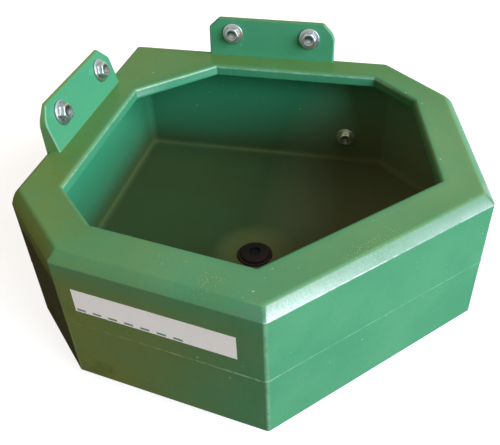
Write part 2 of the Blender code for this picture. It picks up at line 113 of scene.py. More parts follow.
class Workpiece:
    """One mesh object, shaped in edit mode as by hand."""

    def __init__(self, name: str) -> None:
        """Take over and name the object that an operator has just added."""
        self.item = bpy.context.active_object
        self.item.name = self.item.data.name = name

    @classmethod
    def from_loop(cls, name: str, points: Sequence[Vector], filled: bool = False) -> Workpiece:
        """Start from a circle whose vertices are moved to the points, and stay in edit mode.

        Args:
            name: The piece's name.
            points: Where the loop runs, in order.
            filled: Whether the loop is closed by a face.

        Returns:
            The piece, with all of it selected.
        """
        deselect_all()
        bpy.ops.mesh.primitive_circle_add(vertices=len(points), fill_type="NGON" if filled else "NOTHING")
        piece = cls(name)
        bpy.ops.object.mode_set(mode="EDIT")
        bpy.ops.mesh.select_all(action="SELECT")
        mesh = piece.mesh()
        mesh.verts.ensure_lookup_table()
        for vertex, point in zip(mesh.verts, points):
            vertex.co = point
        piece.update()
        return piece

    def mesh(self) -> bmesh.types.BMesh:
        """The mesh under edit."""
        return bmesh.from_edit_mesh(self.item.data)

    def update(self) -> None:
        """Show what was changed in the mesh under edit."""
        bmesh.update_edit_mesh(self.item.data)

    def activate(self) -> None:
        """Make this the only selected piece, in object mode."""
        deselect_all()
        self.item.select_set(True)
        bpy.context.view_layer.objects.active = self.item

    def edit(self) -> None:
        """Open the piece in edit mode with nothing of it selected."""
        self.activate()
        bpy.ops.object.mode_set(mode="EDIT")
        bpy.ops.mesh.select_all(action="DESELECT")

    def pick_edges(self, test: Callable[[bmesh.types.BMEdge], bool]) -> None:
        """Select the edges that pass a test, and nothing else.

        Args:
            test: Says whether an edge is wanted.
        """
        bpy.ops.mesh.select_mode(type="EDGE")
        bpy.ops.mesh.select_all(action="DESELECT")
        mesh = self.mesh()
        for edge in [edge for edge in mesh.edges if test(edge)]:
            edge.select_set(True)
        self.update()

    def extrude_loop(self, before: Sequence[Vector], after: Sequence[Vector]) -> None:
        """Extrude the selected loop, and move the new one to its own outline.

        Args:
            before: The points of the selected loop.
            after: The points of the new loop, in the same order.
        """
        bpy.ops.mesh.extrude_region_move()
        places = {tuple(round(value, 7) for value in point): target
                  for point, target in zip(before, after)}
        mesh = self.mesh()
        for vertex in mesh.verts:
            if vertex.select:
                vertex.co = places[tuple(round(value, 7) for value in vertex.co)]
        self.update()

    def close(self) -> None:
        """Bridge the open ends, merge doubles and turn every face outwards."""
        bpy.ops.mesh.select_mode(type="EDGE")
        bpy.ops.mesh.select_all(action="DESELECT")
        bpy.ops.mesh.select_non_manifold()
        bpy.ops.mesh.bridge_edge_loops()
        self.tidy()

    def tidy(self) -> None:
        """Merge doubles and turn every face outwards."""
        bpy.ops.mesh.select_all(action="SELECT")
        bpy.ops.mesh.remove_doubles(threshold=MERGE_BELOW)
        bpy.ops.mesh.normals_make_consistent(inside=False)

    def modify(self, kind: str, **settings: object) -> None:
        """Add a modifier and apply it.

        Args:
            kind: The modifier's type.
            settings: Its values, by name.
        """
        self.activate()
        modifier = self.item.modifiers.new(kind.title(), kind)
        for key, value in settings.items():
            setattr(modifier, key, value)
        bpy.ops.object.modifier_apply(modifier=modifier.name)

    def combine(self, operation: str, other: Workpiece) -> None:
        """Join, cut or trim this piece with another, which is used up.

        Args:
            operation: UNION, DIFFERENCE or INTERSECT.
            other: The piece to do it with.
        """
        leave_edit()
        self.modify("BOOLEAN", operation=operation, object=other.item, solver="EXACT")
        bpy.data.objects.remove(other.item, do_unlink=True)

    def turn_and_place(self, matrix: Matrix) -> Workpiece:
        """Move the mesh itself, so that the object stays at the origin.

        Args:
            matrix: The turn and the move.

        Returns:
            This piece.
        """
        leave_edit()
        self.item.data.transform(matrix)
        return self

    def smooth(self, weighted: bool = False) -> Workpiece:
        """Shade smooth up to the crisp edges.

        Args:
            weighted: Whether large faces keep their own normals.

        Returns:
            This piece.
        """
        self.activate()
        bpy.ops.object.shade_smooth_by_angle(angle=SMOOTH_BELOW)
        if weighted:
            self.modify("WEIGHTED_NORMAL", keep_sharp=True, weight=50)
        return self

    def copy(self, name: str) -> Workpiece:
        """A copy with its own mesh and name.

        Args:
            name: The copy's name.

        Returns:
            The copy.
        """
        self.activate()
        bpy.ops.object.duplicate(linked=False)
        return Workpiece(name)

    def write(self, name: str, values: Sequence[float]) -> None:
        """Keep a value for each point of the mesh, for the finish to read."""
        self.item.data.attributes.new(name, "FLOAT", "POINT").data.foreach_set("value", values)

    def finish(self, material: bpy.types.Material, body: str, node: str | None, slot: str | None) -> None:
        """Dress the piece and tie it to the frame.

        Args:
            material: What it is made of.
            body: The CAD body that it rides on.
            node: The CAD node that it stands for, if any.
            slot: The record's material slot, if it has one; not used.
        """
        leave_edit()
        self.item.data.materials.clear()
        self.item.data.materials.append(material)
        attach(self.item, body)
        if node is not None:
            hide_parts(node)
        LOG.info("%s: %d faces, stands for %s", self.item.name, len(self.item.data.polygons), node)


def turned(name: str, profile: Profile, segments: int, ring: bool = False) -> Workpiece:
    """A turned piece round the Z axis.

    Args:
        name: The piece's name.
        profile: Its radius and height, from one end to the other.
        segments: How many stretches the full turn has.
        ring: Whether the profile closes on itself, clear of the axis.

    Returns:
        The piece, in edit mode.
    """
    points = [Vector((radius, 0.0, height)) for radius, height in profile]
    piece = Workpiece.from_loop(name, points)
    if not ring:
        ends = {tuple(points[0]), tuple(points[-1])}
        piece.pick_edges(lambda edge: {tuple(vertex.co) for vertex in edge.verts} == ends)
        bpy.ops.mesh.delete(type="EDGE")
    bpy.ops.mesh.select_all(action="SELECT")
    bpy.ops.mesh.spin(steps=segments, angle=2.0 * math.pi, center=(0.0, 0.0, 0.0), axis=(0.0, 0.0, 1.0))
    piece.tidy()
    return piece


def rounding(before: Vector, corner: Vector, after: Vector, radius: float, steps: int) -> list[Vector]:
    """The points of one rounded corner of a flat outline.

    Args:
        before: The corner before it.
        corner: The corner itself.
        after: The corner after it.
        radius: The rounding's radius.
        steps: How many stretches it has.

    Returns:
        The points, from one side to the next.
    """
    back, ahead = (before - corner).normalized(), (after - corner).normalized()
    half = back.angle(ahead) / 2.0
    centre = corner + (back + ahead).normalized() * (radius / math.sin(half))
    first = corner + back * (radius / math.tan(half)) - centre
    turn = math.copysign(math.pi - 2.0 * half, ahead.cross(back))
    return [centre + Matrix.Rotation(turn * step / steps, 2) @ first for step in range(steps + 1)]


def rounded_profile(corners: Profile, radii: Sequence[float], closed: bool = False) -> Profile:
    """A profile whose corners are rounded.

    Args:
        corners: Radius and height of each corner.
        radii: The rounding of each corner; zero keeps it sharp.
        closed: Whether the last corner joins the first.

    Returns:
        The profile's points.
    """
    points: list[Pair] = []
    count = len(corners)
    for index, corner in enumerate(corners):
        if radii[index] == 0.0 or not closed and index in (0, count - 1):
            points.append(corner)
            continue
        near = (Vector(corners[place % count]) for place in (index - 1, index, index + 1))
        points += [tuple(place) for place in rounding(*near, radii[index], 4)]
    return points


def helix(section: Profile, pitch: float, turns: int, segments: int) -> Workpiece:
    """A thread's ridge: a closed section swept up round the Z axis.

    Args:
        section: Radius and height of the ridge's corners.
        pitch: How far it climbs in a turn.
        turns: How many turns it makes.
        segments: How many stretches each turn has.

    Returns:
        The ridge, closed at both ends, in edit mode.
    """
    ridge = Workpiece.from_loop("ridge", [Vector((radius, 0.0, height)) for radius, height in section])
    leave_edit()
    ridge.modify("SCREW", axis="Z", screw_offset=pitch, iterations=turns, steps=segments,
                 render_steps=segments, use_merge_vertices=False)
    ridge.edit()
    bpy.ops.mesh.select_mode(type="EDGE")
    bpy.ops.mesh.select_non_manifold()
    bpy.ops.mesh.edge_face_add()
    for chosen in (min, max):
        level = chosen(vertex.co.z for vertex in ridge.mesh().verts)
        ridge.pick_edges(lambda edge, level=level: edge.is_boundary and all(
            abs(vertex.co.z - level) < pitch * 0.5 for vertex in edge.verts))
        if any(edge.select for edge in ridge.mesh().edges):
            bpy.ops.mesh.edge_face_add()
    ridge.tidy()
    return ridge


def hexagon(flats: float, depth: float, middle: float) -> Workpiece:
    """A hexagonal bar along Z, which a round blank is trimmed to.

    Args:
        flats: Its width over the flats.
        depth: How long it is.
        middle: The height of its middle.

    Returns:
        The bar.
    """
    deselect_all()
    bpy.ops.mesh.primitive_cylinder_add(vertices=6, radius=flats / 2.0 * HEX_CORNER, depth=depth,
                                        location=(0.0, 0.0, middle))
    bpy.ops.object.transform_apply(location=True, rotation=True, scale=True)
    return Workpiece("flats")


# Where things are


class Wall(Enum):
    """The two walls that the bowl is screwed to."""

    BACK = "back"
    LEFT = "left"

    def place(self, along: float, depth: float, height: float) -> Vector:
        """A point by its distance along the wall, out from it and above the underside."""
        return Vector((along, -depth, height) if self is Wall.BACK else (depth, -along, height))

    def outward(self) -> Matrix:
        """The turn that points +Z out of the wall, with +Y upwards."""
        round_z = Matrix.Rotation(math.radians(0.0 if self is Wall.BACK else 90.0), 4, "Z")
        return round_z @ Matrix.Rotation(math.radians(90.0), 4, "X")


@dataclass(frozen=True)
class Ring:
    """One outline of the bowl's skin: how far its sides stand in, its corners and its height."""

    free: float
    wall: float
    cut: float
    corner: float
    cut_corner: float
    height: float
    mouthed: float = 0.0
    bow: float = 0.0
    ragged: float = 0.0

    def towards(self, other: Ring, share: float, sag: float = 0.0) -> Ring:
        """A ring part of the way to another.

        Args:
            other: The ring at the far end.
            share: How far along, from 0 to 1.
            sag: How far the middle of a flat stretch sinks.

        Returns:
            The ring in between.
        """
        values = {name: value * (1.0 - share) + getattr(other, name) * share
                  for name, value in vars(self).items()}
        values["height"] -= sag * math.sin(math.pi * share)
        return Ring(**values)


@dataclass
class BowlPlan:
    """The bowl seen from above: its seven sides, and the eighth that cuts the mouth's corner."""

    wall_side: float = 0.3712
    end_cut: float = 0.0776
    front_reach: float = 0.48768
    front_near: float = 0.28928
    narrower: tuple[float, float, float] = (0.0030, 0.0013, 0.0)
    corner_steps: int = 6
    side_points: tuple[int, ...] = (8, 26, 8, 15, 19, 15, 8, 26)
    middle: Pair = (0.2315, -0.2315)
    nick_scale: Pair = (45.0, 10.0)
    nick_depth: Pair = (0.5, 0.9)

    def corners(self, ring: Ring) -> list[Vector]:
        """The eight corners of a ring, clockwise from the cut's end on the left wall.

        Args:
            ring: The ring's insets and cut.

        Returns:
            The corners, as flat vectors.
        """
        far = self.wall_side + self.end_cut
        outer = [Vector(point) for point in (
            (0.0, 0.0), (self.wall_side, 0.0), (far, -self.end_cut), (self.front_reach, -self.front_near),
            (self.front_near, -self.front_reach), (self.end_cut, -far), (0.0, -self.wall_side))]
        ends, sides, front = (ring.free - ring.mouthed * less for less in self.narrower)
        insets = (ring.wall, ends, sides, front, sides, ends, ring.wall)
        lines = []
        for index, corner in enumerate(outer):
            along = (outer[(index + 1) % len(outer)] - corner).normalized()
            lines.append((corner + Vector((along.y, -along.x)) * insets[index], along))
        met = []
        for index, (start, along) in enumerate(lines):
            before, across = lines[index - 1]
            met.append(before + across * ((start - before).cross(along) / across.cross(along)))
        return [Vector((ring.wall, -ring.wall - ring.cut)),
                Vector((ring.wall + ring.cut, -ring.wall))] + met[1:]

    def outline(self, ring: Ring) -> list[Vector]:
        """Every point of a ring, always as many and in the same order.

        Args:
            ring: The ring.

        Returns:
            Its points in space.
        """
        corners = self.corners(ring)
        count = len(corners)
        arcs = [rounding(corners[index - 1], corner, corners[(index + 1) % count],
                         ring.cut_corner if index < 2 else ring.corner, self.corner_steps)
                for index, corner in enumerate(corners)]
        points: list[Vector] = []
        for index, bend in enumerate(arcs):
            points += bend
            start, end = bend[-1], arcs[(index + 1) % count][0]
            along = (end - start).normalized()
            steps = self.side_points[index] + 1
            reach = (end - start).length / self.wall_side
            for step in range(1, steps):
                share = step / steps
                sink = ring.bow * reach * 4.0 * share * (1.0 - share)
                points.append(start.lerp(end, share) + Vector((along.y, -along.x)) * sink)
        if ring.ragged:
            points = [self.nicked(point, ring) for point in points]
        return [Vector((point.x, point.y, ring.height)) for point in points]

    def nicked(self, point: Vector, ring: Ring) -> Vector:
        """A point of a torn edge, moved towards the bowl's middle by a chance amount.

        Args:
            point: Where it would be.
            ring: The ring, for its height and how ragged it is.

        Returns:
            Where it is.
        """
        inward = (Vector(self.middle) - point).normalized()
        flat, tall = self.nick_scale
        chance = noise.noise(Vector((point.x * flat, point.y * flat, ring.height * tall)))
        least, spread = self.nick_depth
        return point + inward * ring.ragged * (least + spread * chance)


# The moulding


@dataclass
class Moulding:
    """The bowl, its lip, its dished floor and its two tabs, as one skin."""

    plan: BowlPlan = field(default_factory=BowlPlan)
    height: float = RIM_HEIGHT
    shell: float = SHELL
    draft: float = 0.0002
    bevel: float = 0.0105
    bevel_low_round: float = 0.0015
    bevel_bulge: float = 0.0005
    bevel_top_round: float = 0.007
    base_round: float = 0.001
    wall_top_round: float = 0.007
    floor_fillet: float = 0.009
    ceiling_fillet: float = 0.003
    room_round: float = 0.003
    upper_round: float = 0.006
    lower_round: float = 0.004
    inner_round: float = 0.010
    seam_height: float = 0.0765
    seam_step: float = 0.0003
    seam_ridge: float = 0.0016
    seam_proud: float = 0.0004
    seam_flank: float = 0.0004
    seam_ragged: float = 0.0004
    rim_at_wall: float = 0.047
    rim_at_front: float = 0.0528
    mouth_cut: float = 0.1265
    mouth_round: float = 0.0015
    lip_depth: float = 0.0148
    lip_round: float = 0.0045
    lip_fillet: float = 0.004
    dish_radius: float = 0.052
    dish_flat: float = 0.029
    dish_depth: float = 0.004
    dish_spread: float = 0.001
    drain_hole: float = 0.019
    wall_bow: float = 0.0007
    rim_sag: float = 0.0003
    # Feed dust inside, darker towards the floor, and mud outside, most at the left end, both with painted
    # shade in them.
    feed_line: Pair = (0.11, 0.09)
    mud_edges: tuple[Pair, Pair, Pair] = ((0.355, 0.25), (-0.22, 0.15), (0.012, 0.055))
    mud_on_front: float = 0.66

    def cut_for(self, radius: float) -> float:
        """The cut whose two corners make one square corner of a radius."""
        return radius * (2.0 - DIAGONAL)

    def draft_inset(self, height: float) -> float:
        """How far a free side stands in at a height, below the bevel."""
        return self.draft * (1.0 - height / (self.height - self.bevel))

    def bow_at(self, height: float) -> float:
        """How far a side is sunk at a height."""
        return self.wall_bow * math.sin(math.pi * clamp(height / self.height))

    def outer(self, free: float, wall: float, corner: float, height: float, **extra: float) -> Ring:
        """A ring of the outside."""
        cut = self.cut_for(self.room_round)
        return Ring(free, wall, cut, corner, self.room_round * 0.97, height, **extra)

    def inner(self, free: float, wall: float, height: float, **extra: float) -> Ring:
        """A ring of the inside."""
        cut = self.cut_for(self.inner_round)
        return Ring(free, wall, cut, self.inner_round, self.inner_round * 0.97, height, **extra)

    def mouth(self, outset: float, height: float) -> Ring:
        """A ring of the lip, moved outwards by the outset.

        Args:
            outset: How far out it is from the lip's face.
            height: The ring's height.

        Returns:
            The ring.
        """
        beside = self.rim_at_wall - outset
        cut = (self.mouth_cut - outset) * DIAGONAL - 2.0 * beside
        radius = self.mouth_round + outset
        return Ring(self.rim_at_front - outset, beside, cut, radius, radius, height, mouthed=1.0)

    def outside_rings(self) -> list[Ring]:
        """From the bottom edge up to the rim.

        Returns:
            The outside's rings.
        """
        rings = []
        for angle in sweep(0.0, 90.0, 7):
            height = self.base_round * (1.0 - math.cos(angle))
            inset = self.base_round * (1.0 - math.sin(angle))
            free = self.draft_inset(height) + self.seam_step + inset
            rings.append(self.outer(free, inset, self.lower_round, height))
        for step in range(1, 7):
            height = self.base_round + (self.seam_height - self.base_round) * step / 6
            free = self.draft_inset(height) + self.seam_step
            rings.append(self.outer(free, 0.0, self.lower_round, height, bow=self.bow_at(height)))
        seam = self.draft_inset(self.seam_height)
        bow = self.bow_at(self.seam_height)
        for proud, above, ragged in (
                (self.seam_proud, self.seam_flank, self.seam_ragged),
                (self.seam_proud, self.seam_ridge - self.seam_flank, self.seam_ragged),
                (0.0, self.seam_ridge, 0.0)):
            rings.append(self.outer(seam - proud, 0.0, self.upper_round, self.seam_height + above,
                                    bow=bow, ragged=ragged))
        tangent, slant = math.tan(math.radians(22.5)), math.sin(math.radians(135.0))
        low = self.height - self.bevel - self.bevel_low_round * tangent
        start = self.seam_height + self.seam_ridge
        for step in range(1, 7):
            height = start + (low - start) * step / 7
            rings.append(self.outer(self.draft_inset(height), 0.0, self.upper_round, height,
                                    bow=self.bow_at(height)))
        for angle in sweep(180.0, 135.0, 4):
            height = low + self.bevel_low_round * math.sin(angle)
            rings.append(self.outer(self.bevel_low_round * (1.0 + math.cos(angle)), 0.0,
                                    self.upper_round, height, bow=self.bow_at(height)))
        foot = low + self.bevel_low_round * slant
        head = self.height - self.bevel_top_round * (1.0 - slant)
        start = self.height - self.wall_top_round
        heights = [foot + (start - foot) * share for share in (0.3, 0.65)]
        heights += [start + self.wall_top_round * math.sin(angle) for angle in sweep(0.0, 36.0, 4)]
        for height in heights:
            share = (height - foot) / (head - foot)
            free = height - self.height + self.bevel - self.bevel_bulge * 4.0 * share * (1.0 - share)
            rings.append(self.outer(free, self.wall_top_inset(height), self.upper_round, height))
        for angle in sweep(135.0, 90.0, 9):
            height = self.height - self.bevel_top_round * (1.0 - math.sin(angle))
            free = self.bevel + self.bevel_top_round * (tangent + math.cos(angle))
            rings.append(self.outer(free, self.wall_top_inset(height), self.upper_round, height))
        return rings

    def wall_top_inset(self, height: float) -> float:
        """The rounding of the top edge along the walls.

        Args:
            height: Where it is asked for.

        Returns:
            How far the side stands in there.
        """
        above = height - (self.height - self.wall_top_round)
        if above <= 0.0:
            return 0.0
        return self.wall_top_round - math.sqrt(max(self.wall_top_round ** 2 - above ** 2, 0.0))

    def mouth_rings(self) -> list[Ring]:
        """Over the lip's edge, down its face, round its lower edge and up its back.

        Returns:
            The lip's rings.
        """
        rings = [self.mouth(self.lip_round * (1.0 - math.cos(angle)),
                            self.height - self.lip_round * (1.0 - math.sin(angle)))
                 for angle in sweep(90.0, 0.0, 8)]
        half = self.shell / 2.0
        low = self.height - self.lip_depth + half
        middle = (self.height - self.lip_round + low) / 2.0
        rings.append(self.mouth(0.0, middle))
        rings += [self.mouth(half * (1.0 + math.cos(angle)), low + half * math.sin(angle))
                  for angle in sweep(180.0, 360.0, 10)]
        under = self.height - self.shell
        rings += [self.mouth(self.shell + self.lip_fillet * (1.0 + math.cos(angle)),
                             under - self.lip_fillet * (1.0 - math.sin(angle)))
                  for angle in sweep(180.0, 90.0, 4)]
        return rings

    def inside_rings(self) -> list[Ring]:
        """From under the rim down to the floor.

        Returns:
            The inside's rings.
        """
        under = self.height - self.shell
        slope = self.shell * (DIAGONAL - 1.0)
        shoulder = self.height - self.bevel - slope
        rings = [self.inner(self.bevel + slope, self.shell + self.ceiling_fillet, under),
                 self.inner(self.bevel + slope - self.ceiling_fillet, self.shell,
                            under - self.ceiling_fillet),
                 self.inner(self.shell, self.shell, shoulder)]
        foot = self.shell + self.floor_fillet
        for step in range(1, 12):
            height = shoulder + (foot - shoulder) * step / 12
            rings.append(self.inner(self.shell + self.draft_inset(height), self.shell, height,
                                    bow=self.bow_at(height)))
        for angle in sweep(180.0, 270.0, 9):
            height = self.shell + self.floor_fillet * (1.0 + math.sin(angle))
            push = self.floor_fillet * (1.0 + math.cos(angle))
            rings.append(self.inner(self.shell + self.draft_inset(height) + push,
                                    self.shell + push, height))
        return rings

    def round_drain(self, outline: Sequence[Vector], radius: float, height: float) -> list[Vector]:
        """A circle round the drain, whose points lie on the way to those of an outline.

        Args:
            outline: The outline.
            radius: The circle's radius.
            height: Its height.

        Returns:
            The circle's points.
        """
        centre = Vector((*DRAIN, height))
        return [centre + Vector((point.x - centre.x, point.y - centre.y, 0.0)).normalized() * radius
                for point in outline]

    def floor_loops(self, edge: Sequence[Vector], level: float, spread: float) -> list[list[Vector]]:
        """From a floor's edge in to the drain hole.

        Args:
            edge: The outline where the floor begins.
            level: The floor's height.
            spread: How much wider the dish is on this face.

        Returns:
            The loops, without the edge itself.
        """
        dish = self.round_drain(edge, self.dish_radius + spread, level)
        loops = []
        for step in range(1, 7):
            share = step / 7
            loops.append([point.lerp(target, share) for point, target in zip(edge, dish)])
        for step in range(11):
            share = step / 10
            radius = self.dish_radius + spread + (self.dish_flat - self.dish_radius) * share
            drop = self.dish_depth * (1.0 - math.cos(math.pi * share)) / 2.0
            loops.append(self.round_drain(edge, radius, level - drop))
        loops.append(self.round_drain(edge, self.drain_hole, level - self.dish_depth))
        return loops

    def loops(self) -> list[list[Vector]]:
        """Every loop of the skin, from the drain hole's lower edge round to its upper edge.

        Returns:
            The loops.
        """
        outside = self.outside_rings()
        mouth = self.mouth_rings()
        inside = self.inside_rings()
        rim = [outside[-1].towards(mouth[0], step / 6, self.rim_sag) for step in range(1, 6)]
        ceiling = [mouth[-1].towards(inside[0], step / 4) for step in range(1, 4)]
        skin = [self.plan.outline(ring) for ring in outside + rim + mouth + ceiling + inside]
        below = self.floor_loops(skin[0], 0.0, self.dish_spread)
        above = self.floor_loops(skin[-1], self.shell, 0.0)
        return below[::-1] + skin + above

    def build(self) -> Workpiece:
        """Draw the skin loop by loop, then join the tabs and drill the holes.

        Returns:
            The moulding.
        """
        loops = self.loops()
        bowl = Workpiece.from_loop("moulded_bowl", loops[0])
        for before, after in zip(loops, loops[1:]):
            bowl.extrude_loop(before, after)
        bowl.close()
        for wall in Wall:
            bowl.combine("UNION", FixingTab(wall).build())
        for fixing in FIXINGS:
            bowl.combine("DIFFERENCE", fixing.drill())
        bowl.smooth(weighted=True)
        self.soil_and_shade(bowl)
        return bowl

    def soil_and_shade(self, bowl: Workpiece) -> None:
        """Write on each point whether it is inside or on the lip, and how much dirt and painted shade it
        gets.

        Args:
            bowl: The finished moulding.
        """
        skin = self.shell * 0.7
        floor = (self.shell - self.dish_depth) * 0.5
        lip_foot = self.height - self.lip_depth - 0.0005
        mouth = self.plan.corners(self.mouth(self.lip_round + 0.001, 0.0))
        levels: dict[int, list[Vector]] = {}
        values: dict[str, list[float]] = {"soil_and_shade": [], "lip": [], "inside": []}
        for vertex in bowl.item.data.vertices:
            x, y, z = vertex.co
            on_lip = z > lip_foot and self.within(mouth, x, y)
            lean = max(z - self.height + self.bevel, 0.0)
            level = round(lean * 10000.0)
            if level not in levels:
                levels[level] = self.plan.corners(self.inner(lean + skin, skin, 0.0))
            inside = floor < z < self.height - self.shell * 0.5 and self.within(levels[level], x, y)
            values["soil_and_shade"].append(self.feed_at(z) if inside else -self.mud_and_shade_at(x, y, z))
            values["lip"].append(float(on_lip))
            values["inside"].append(float(inside and not on_lip))
        for name, written in values.items():
            bowl.write(name, written)

    def feed_at(self, z: float) -> float:
        """How much feed dust and painted shade the inside gets at a height."""
        top, fade = self.feed_line
        return clamp((top - z) / fade)

    def mud_and_shade_at(self, x: float, y: float, z: float) -> float:
        """How much mud and painted shade a point outside gets: most at the left end, none on the front right.

        Args:
            x: The point's place along the back wall.
            y: Its place along the left wall.
            z: Its height.

        Returns:
            The mud and painted shade, from 0 to 1.
        """
        places = (-x, -y, -z + self.height)
        mud_and_shade = math.prod(clamp((place + start) / fade) for place, (start, fade) in zip(places, self.mud_edges))
        if x - y > self.plan.front_reach + self.plan.front_near - 0.0025:
            return 0.0
        return mud_and_shade * (self.mud_on_front if x > self.plan.end_cut else 1.0)

    @staticmethod
    def within(corners: Sequence[Vector], x: float, y: float) -> bool:
        """Whether a point lies inside an outline, seen from above.

        Args:
            corners: The outline's corners, clockwise.
            x: The point's place along the back wall.
            y: Its place along the left wall.

        Returns:
            True where it does.
        """
        here = Vector((x, y))
        for index, corner in enumerate(corners):
            along = corners[(index + 1) % len(corners)] - corner
            if along.length > MERGE_BELOW and (here - corner).dot(Vector((along.y, -along.x))) < 0.0:
                return False
        return True


@dataclass(frozen=True)
class TabFace:
    """A tab's thickness at its foot and at its top, where its face leans back to, and its near corner."""

    foot: float
    top: float
    near_cut: float
    near_drop: float

    def depth(self, above: float) -> float:
        """The thickness at a height above the rim."""
        return self.foot + (self.top - self.foot) * above / TAB_RISE

    def lean(self) -> float:
        """The angle that the face leans back by."""
        return math.atan((self.foot - self.top) / TAB_RISE)


TAB_FACES = {Wall.BACK: TabFace(0.0115, 0.0060, 0.0145, 0.0130),
             Wall.LEFT: TabFace(0.0170, 0.0045, 0.0190, 0.0175)}


@dataclass
class FixingTab:
    """An upright tab on the rim, flush with its wall, with cut and rounded corners."""

    wall: Wall
    centre: float = 0.201
    length: float = 0.175
    far_cut: float = 0.0155
    far_drop: float = 0.0165
    rounds: tuple[float, float, float, float] = (0.004, 0.004, 0.006, 0.018)
    face_round: float = 0.0022
    wall_round: float = 0.0010
    root: float = 0.0045

    def build(self) -> Workpiece:
        """Extrude the outline, round its corners, then its edges.

        Returns:
            The tab, ready to be joined to the bowl.
        """
        face = TAB_FACES[self.wall]
        near, far = self.centre - self.length / 2.0, self.centre + self.length / 2.0
        outline = ((near, -self.root), (near, TAB_RISE - face.near_drop), (near + face.near_cut, TAB_RISE),
                   (far - self.far_cut, TAB_RISE), (far, TAB_RISE - self.far_drop), (far, -self.root))
        points = [self.wall.place(along, 0.0, RIM_HEIGHT + above) for along, above in outline]
        tab = Workpiece.from_loop(f"{self.wall.value}_tab", points, filled=True)
        out = self.wall.place(0.0, 1.0, 0.0)
        bpy.ops.mesh.extrude_region_move(TRANSFORM_OT_translate={"value": out * face.foot})
        for vertex in tab.mesh().verts:
            if vertex.select:
                vertex.co += out * (face.depth(vertex.co.z - RIM_HEIGHT) - face.foot)
        tab.update()
        tab.tidy()
        for index, radius in zip(range(1, 5), self.rounds):
            here = points[index]
            half = (points[index - 1] - here).angle(points[index + 1] - here) / 2.0
            tab.pick_edges(lambda edge, here=here: all(
                (vertex.co - here).cross(out).length < MERGE_BELOW for vertex in edge.verts))
            bpy.ops.mesh.bevel(offset=radius / math.tan(half), segments=8, affect="EDGES")
        for side, radius in ((out, self.face_round), (-out, self.wall_round)):
            tab.pick_edges(lambda edge, side=side: edge.is_manifold and sum(
                face.normal.dot(side) > 0.95 for face in edge.link_faces) == 1
                and any(vertex.co.z > RIM_HEIGHT for vertex in edge.verts))
            bpy.ops.mesh.bevel(offset=radius, segments=4, affect="EDGES", clamp_overlap=True)
        tab.tidy()
        return tab


# The fixings


@dataclass(frozen=True)
class Fixing:
    """One screw and washer: where they are, what they clamp and how the head is turned."""

    wall: Wall
    place: str
    along: float
    height: float
    clamped: float
    head_turn: float
    lean: float = 0.0
    hole_radius: float = 0.0055

    def seat(self, lift: float) -> Matrix:
        """The turn and move that seat a piece at a height above the face it is screwed to.

        Args:
            lift: That height.

        Returns:
            The turn and the move.
        """
        spot = self.wall.place(self.along, self.clamped, self.height)
        turn = Matrix.Rotation(math.radians(self.head_turn), 4, "Z")
        return (Matrix.Translation(spot) @ self.wall.outward() @ Matrix.Rotation(-self.lean, 4, "X")
                @ Matrix.Translation((0.0, 0.0, lift)) @ turn)

    def node(self, kind: str) -> str:
        """The CAD node's name."""
        first, *rest = self.place.split("_")
        return "_".join([self.wall.value, first, kind, *rest])

    def drill(self) -> Workpiece:
        """The cylinder that cuts this fixing's hole.

        Returns:
            The cutter.
        """
        deselect_all()
        bpy.ops.mesh.primitive_cylinder_add(vertices=40, radius=self.hole_radius,
                                            depth=self.clamped + 2.0 * SHELL)
        return Workpiece("drill").turn_and_place(self.seat(-self.clamped / 2.0))


def wall_fixings(wall: Wall, *turns: float) -> list[Fixing]:
    """A wall's three fixings: two square to its tab's leaning face, and one low inside the bowl.

    Args:
        wall: The wall.
        turns: How far each head is turned, in degrees.

    Returns:
        The fixings.
    """
    face, height = TAB_FACES[wall], RIM_HEIGHT + TAB_SCREWS_ABOVE
    tab = [Fixing(wall, place, along, height, face.depth(TAB_SCREWS_ABOVE), turn, face.lean())
           for place, along, turn in zip(("tab_corner", "tab_end"), TAB_SCREWS_ALONG, turns)]
    return tab + [Fixing(wall, "wall", *LOW_SCREW, SHELL, turns[-1])]


FIXINGS = wall_fixings(Wall.BACK, 24.0, 33.0, 29.0) + wall_fixings(Wall.LEFT, 36.0, 25.0, 31.0)


def thread(root: float, crest: float, pitch: float, rise: Sequence[float], turns: int,
           segments: int) -> Workpiece:
    """A thread round the Z axis, up from zero.

    Args:
        root: Its inner radius, a little inside what it is on.
        crest: Its outer radius.
        pitch: How far it climbs in a turn.
        rise: Where its flanks end, in shares of the pitch.
        turns: How many turns it makes.
        segments: How many stretches each turn has.

    Returns:
        The ridge.
    """
    section = ((root, 0.0), (crest, pitch * rise[0]), (crest, pitch * rise[1]), (root, pitch * rise[2]))
    ridge = helix(section, pitch, turns, segments)
    leave_edit()
    return ridge


def rounded_ring(name: str, corners: Profile, radii: Sequence[float], segments: int) -> Workpiece:
    """A turned ring, clear of the axis, with each of its profile's corners rounded."""
    return turned(name, rounded_profile(corners, radii, closed=True), segments, ring=True)


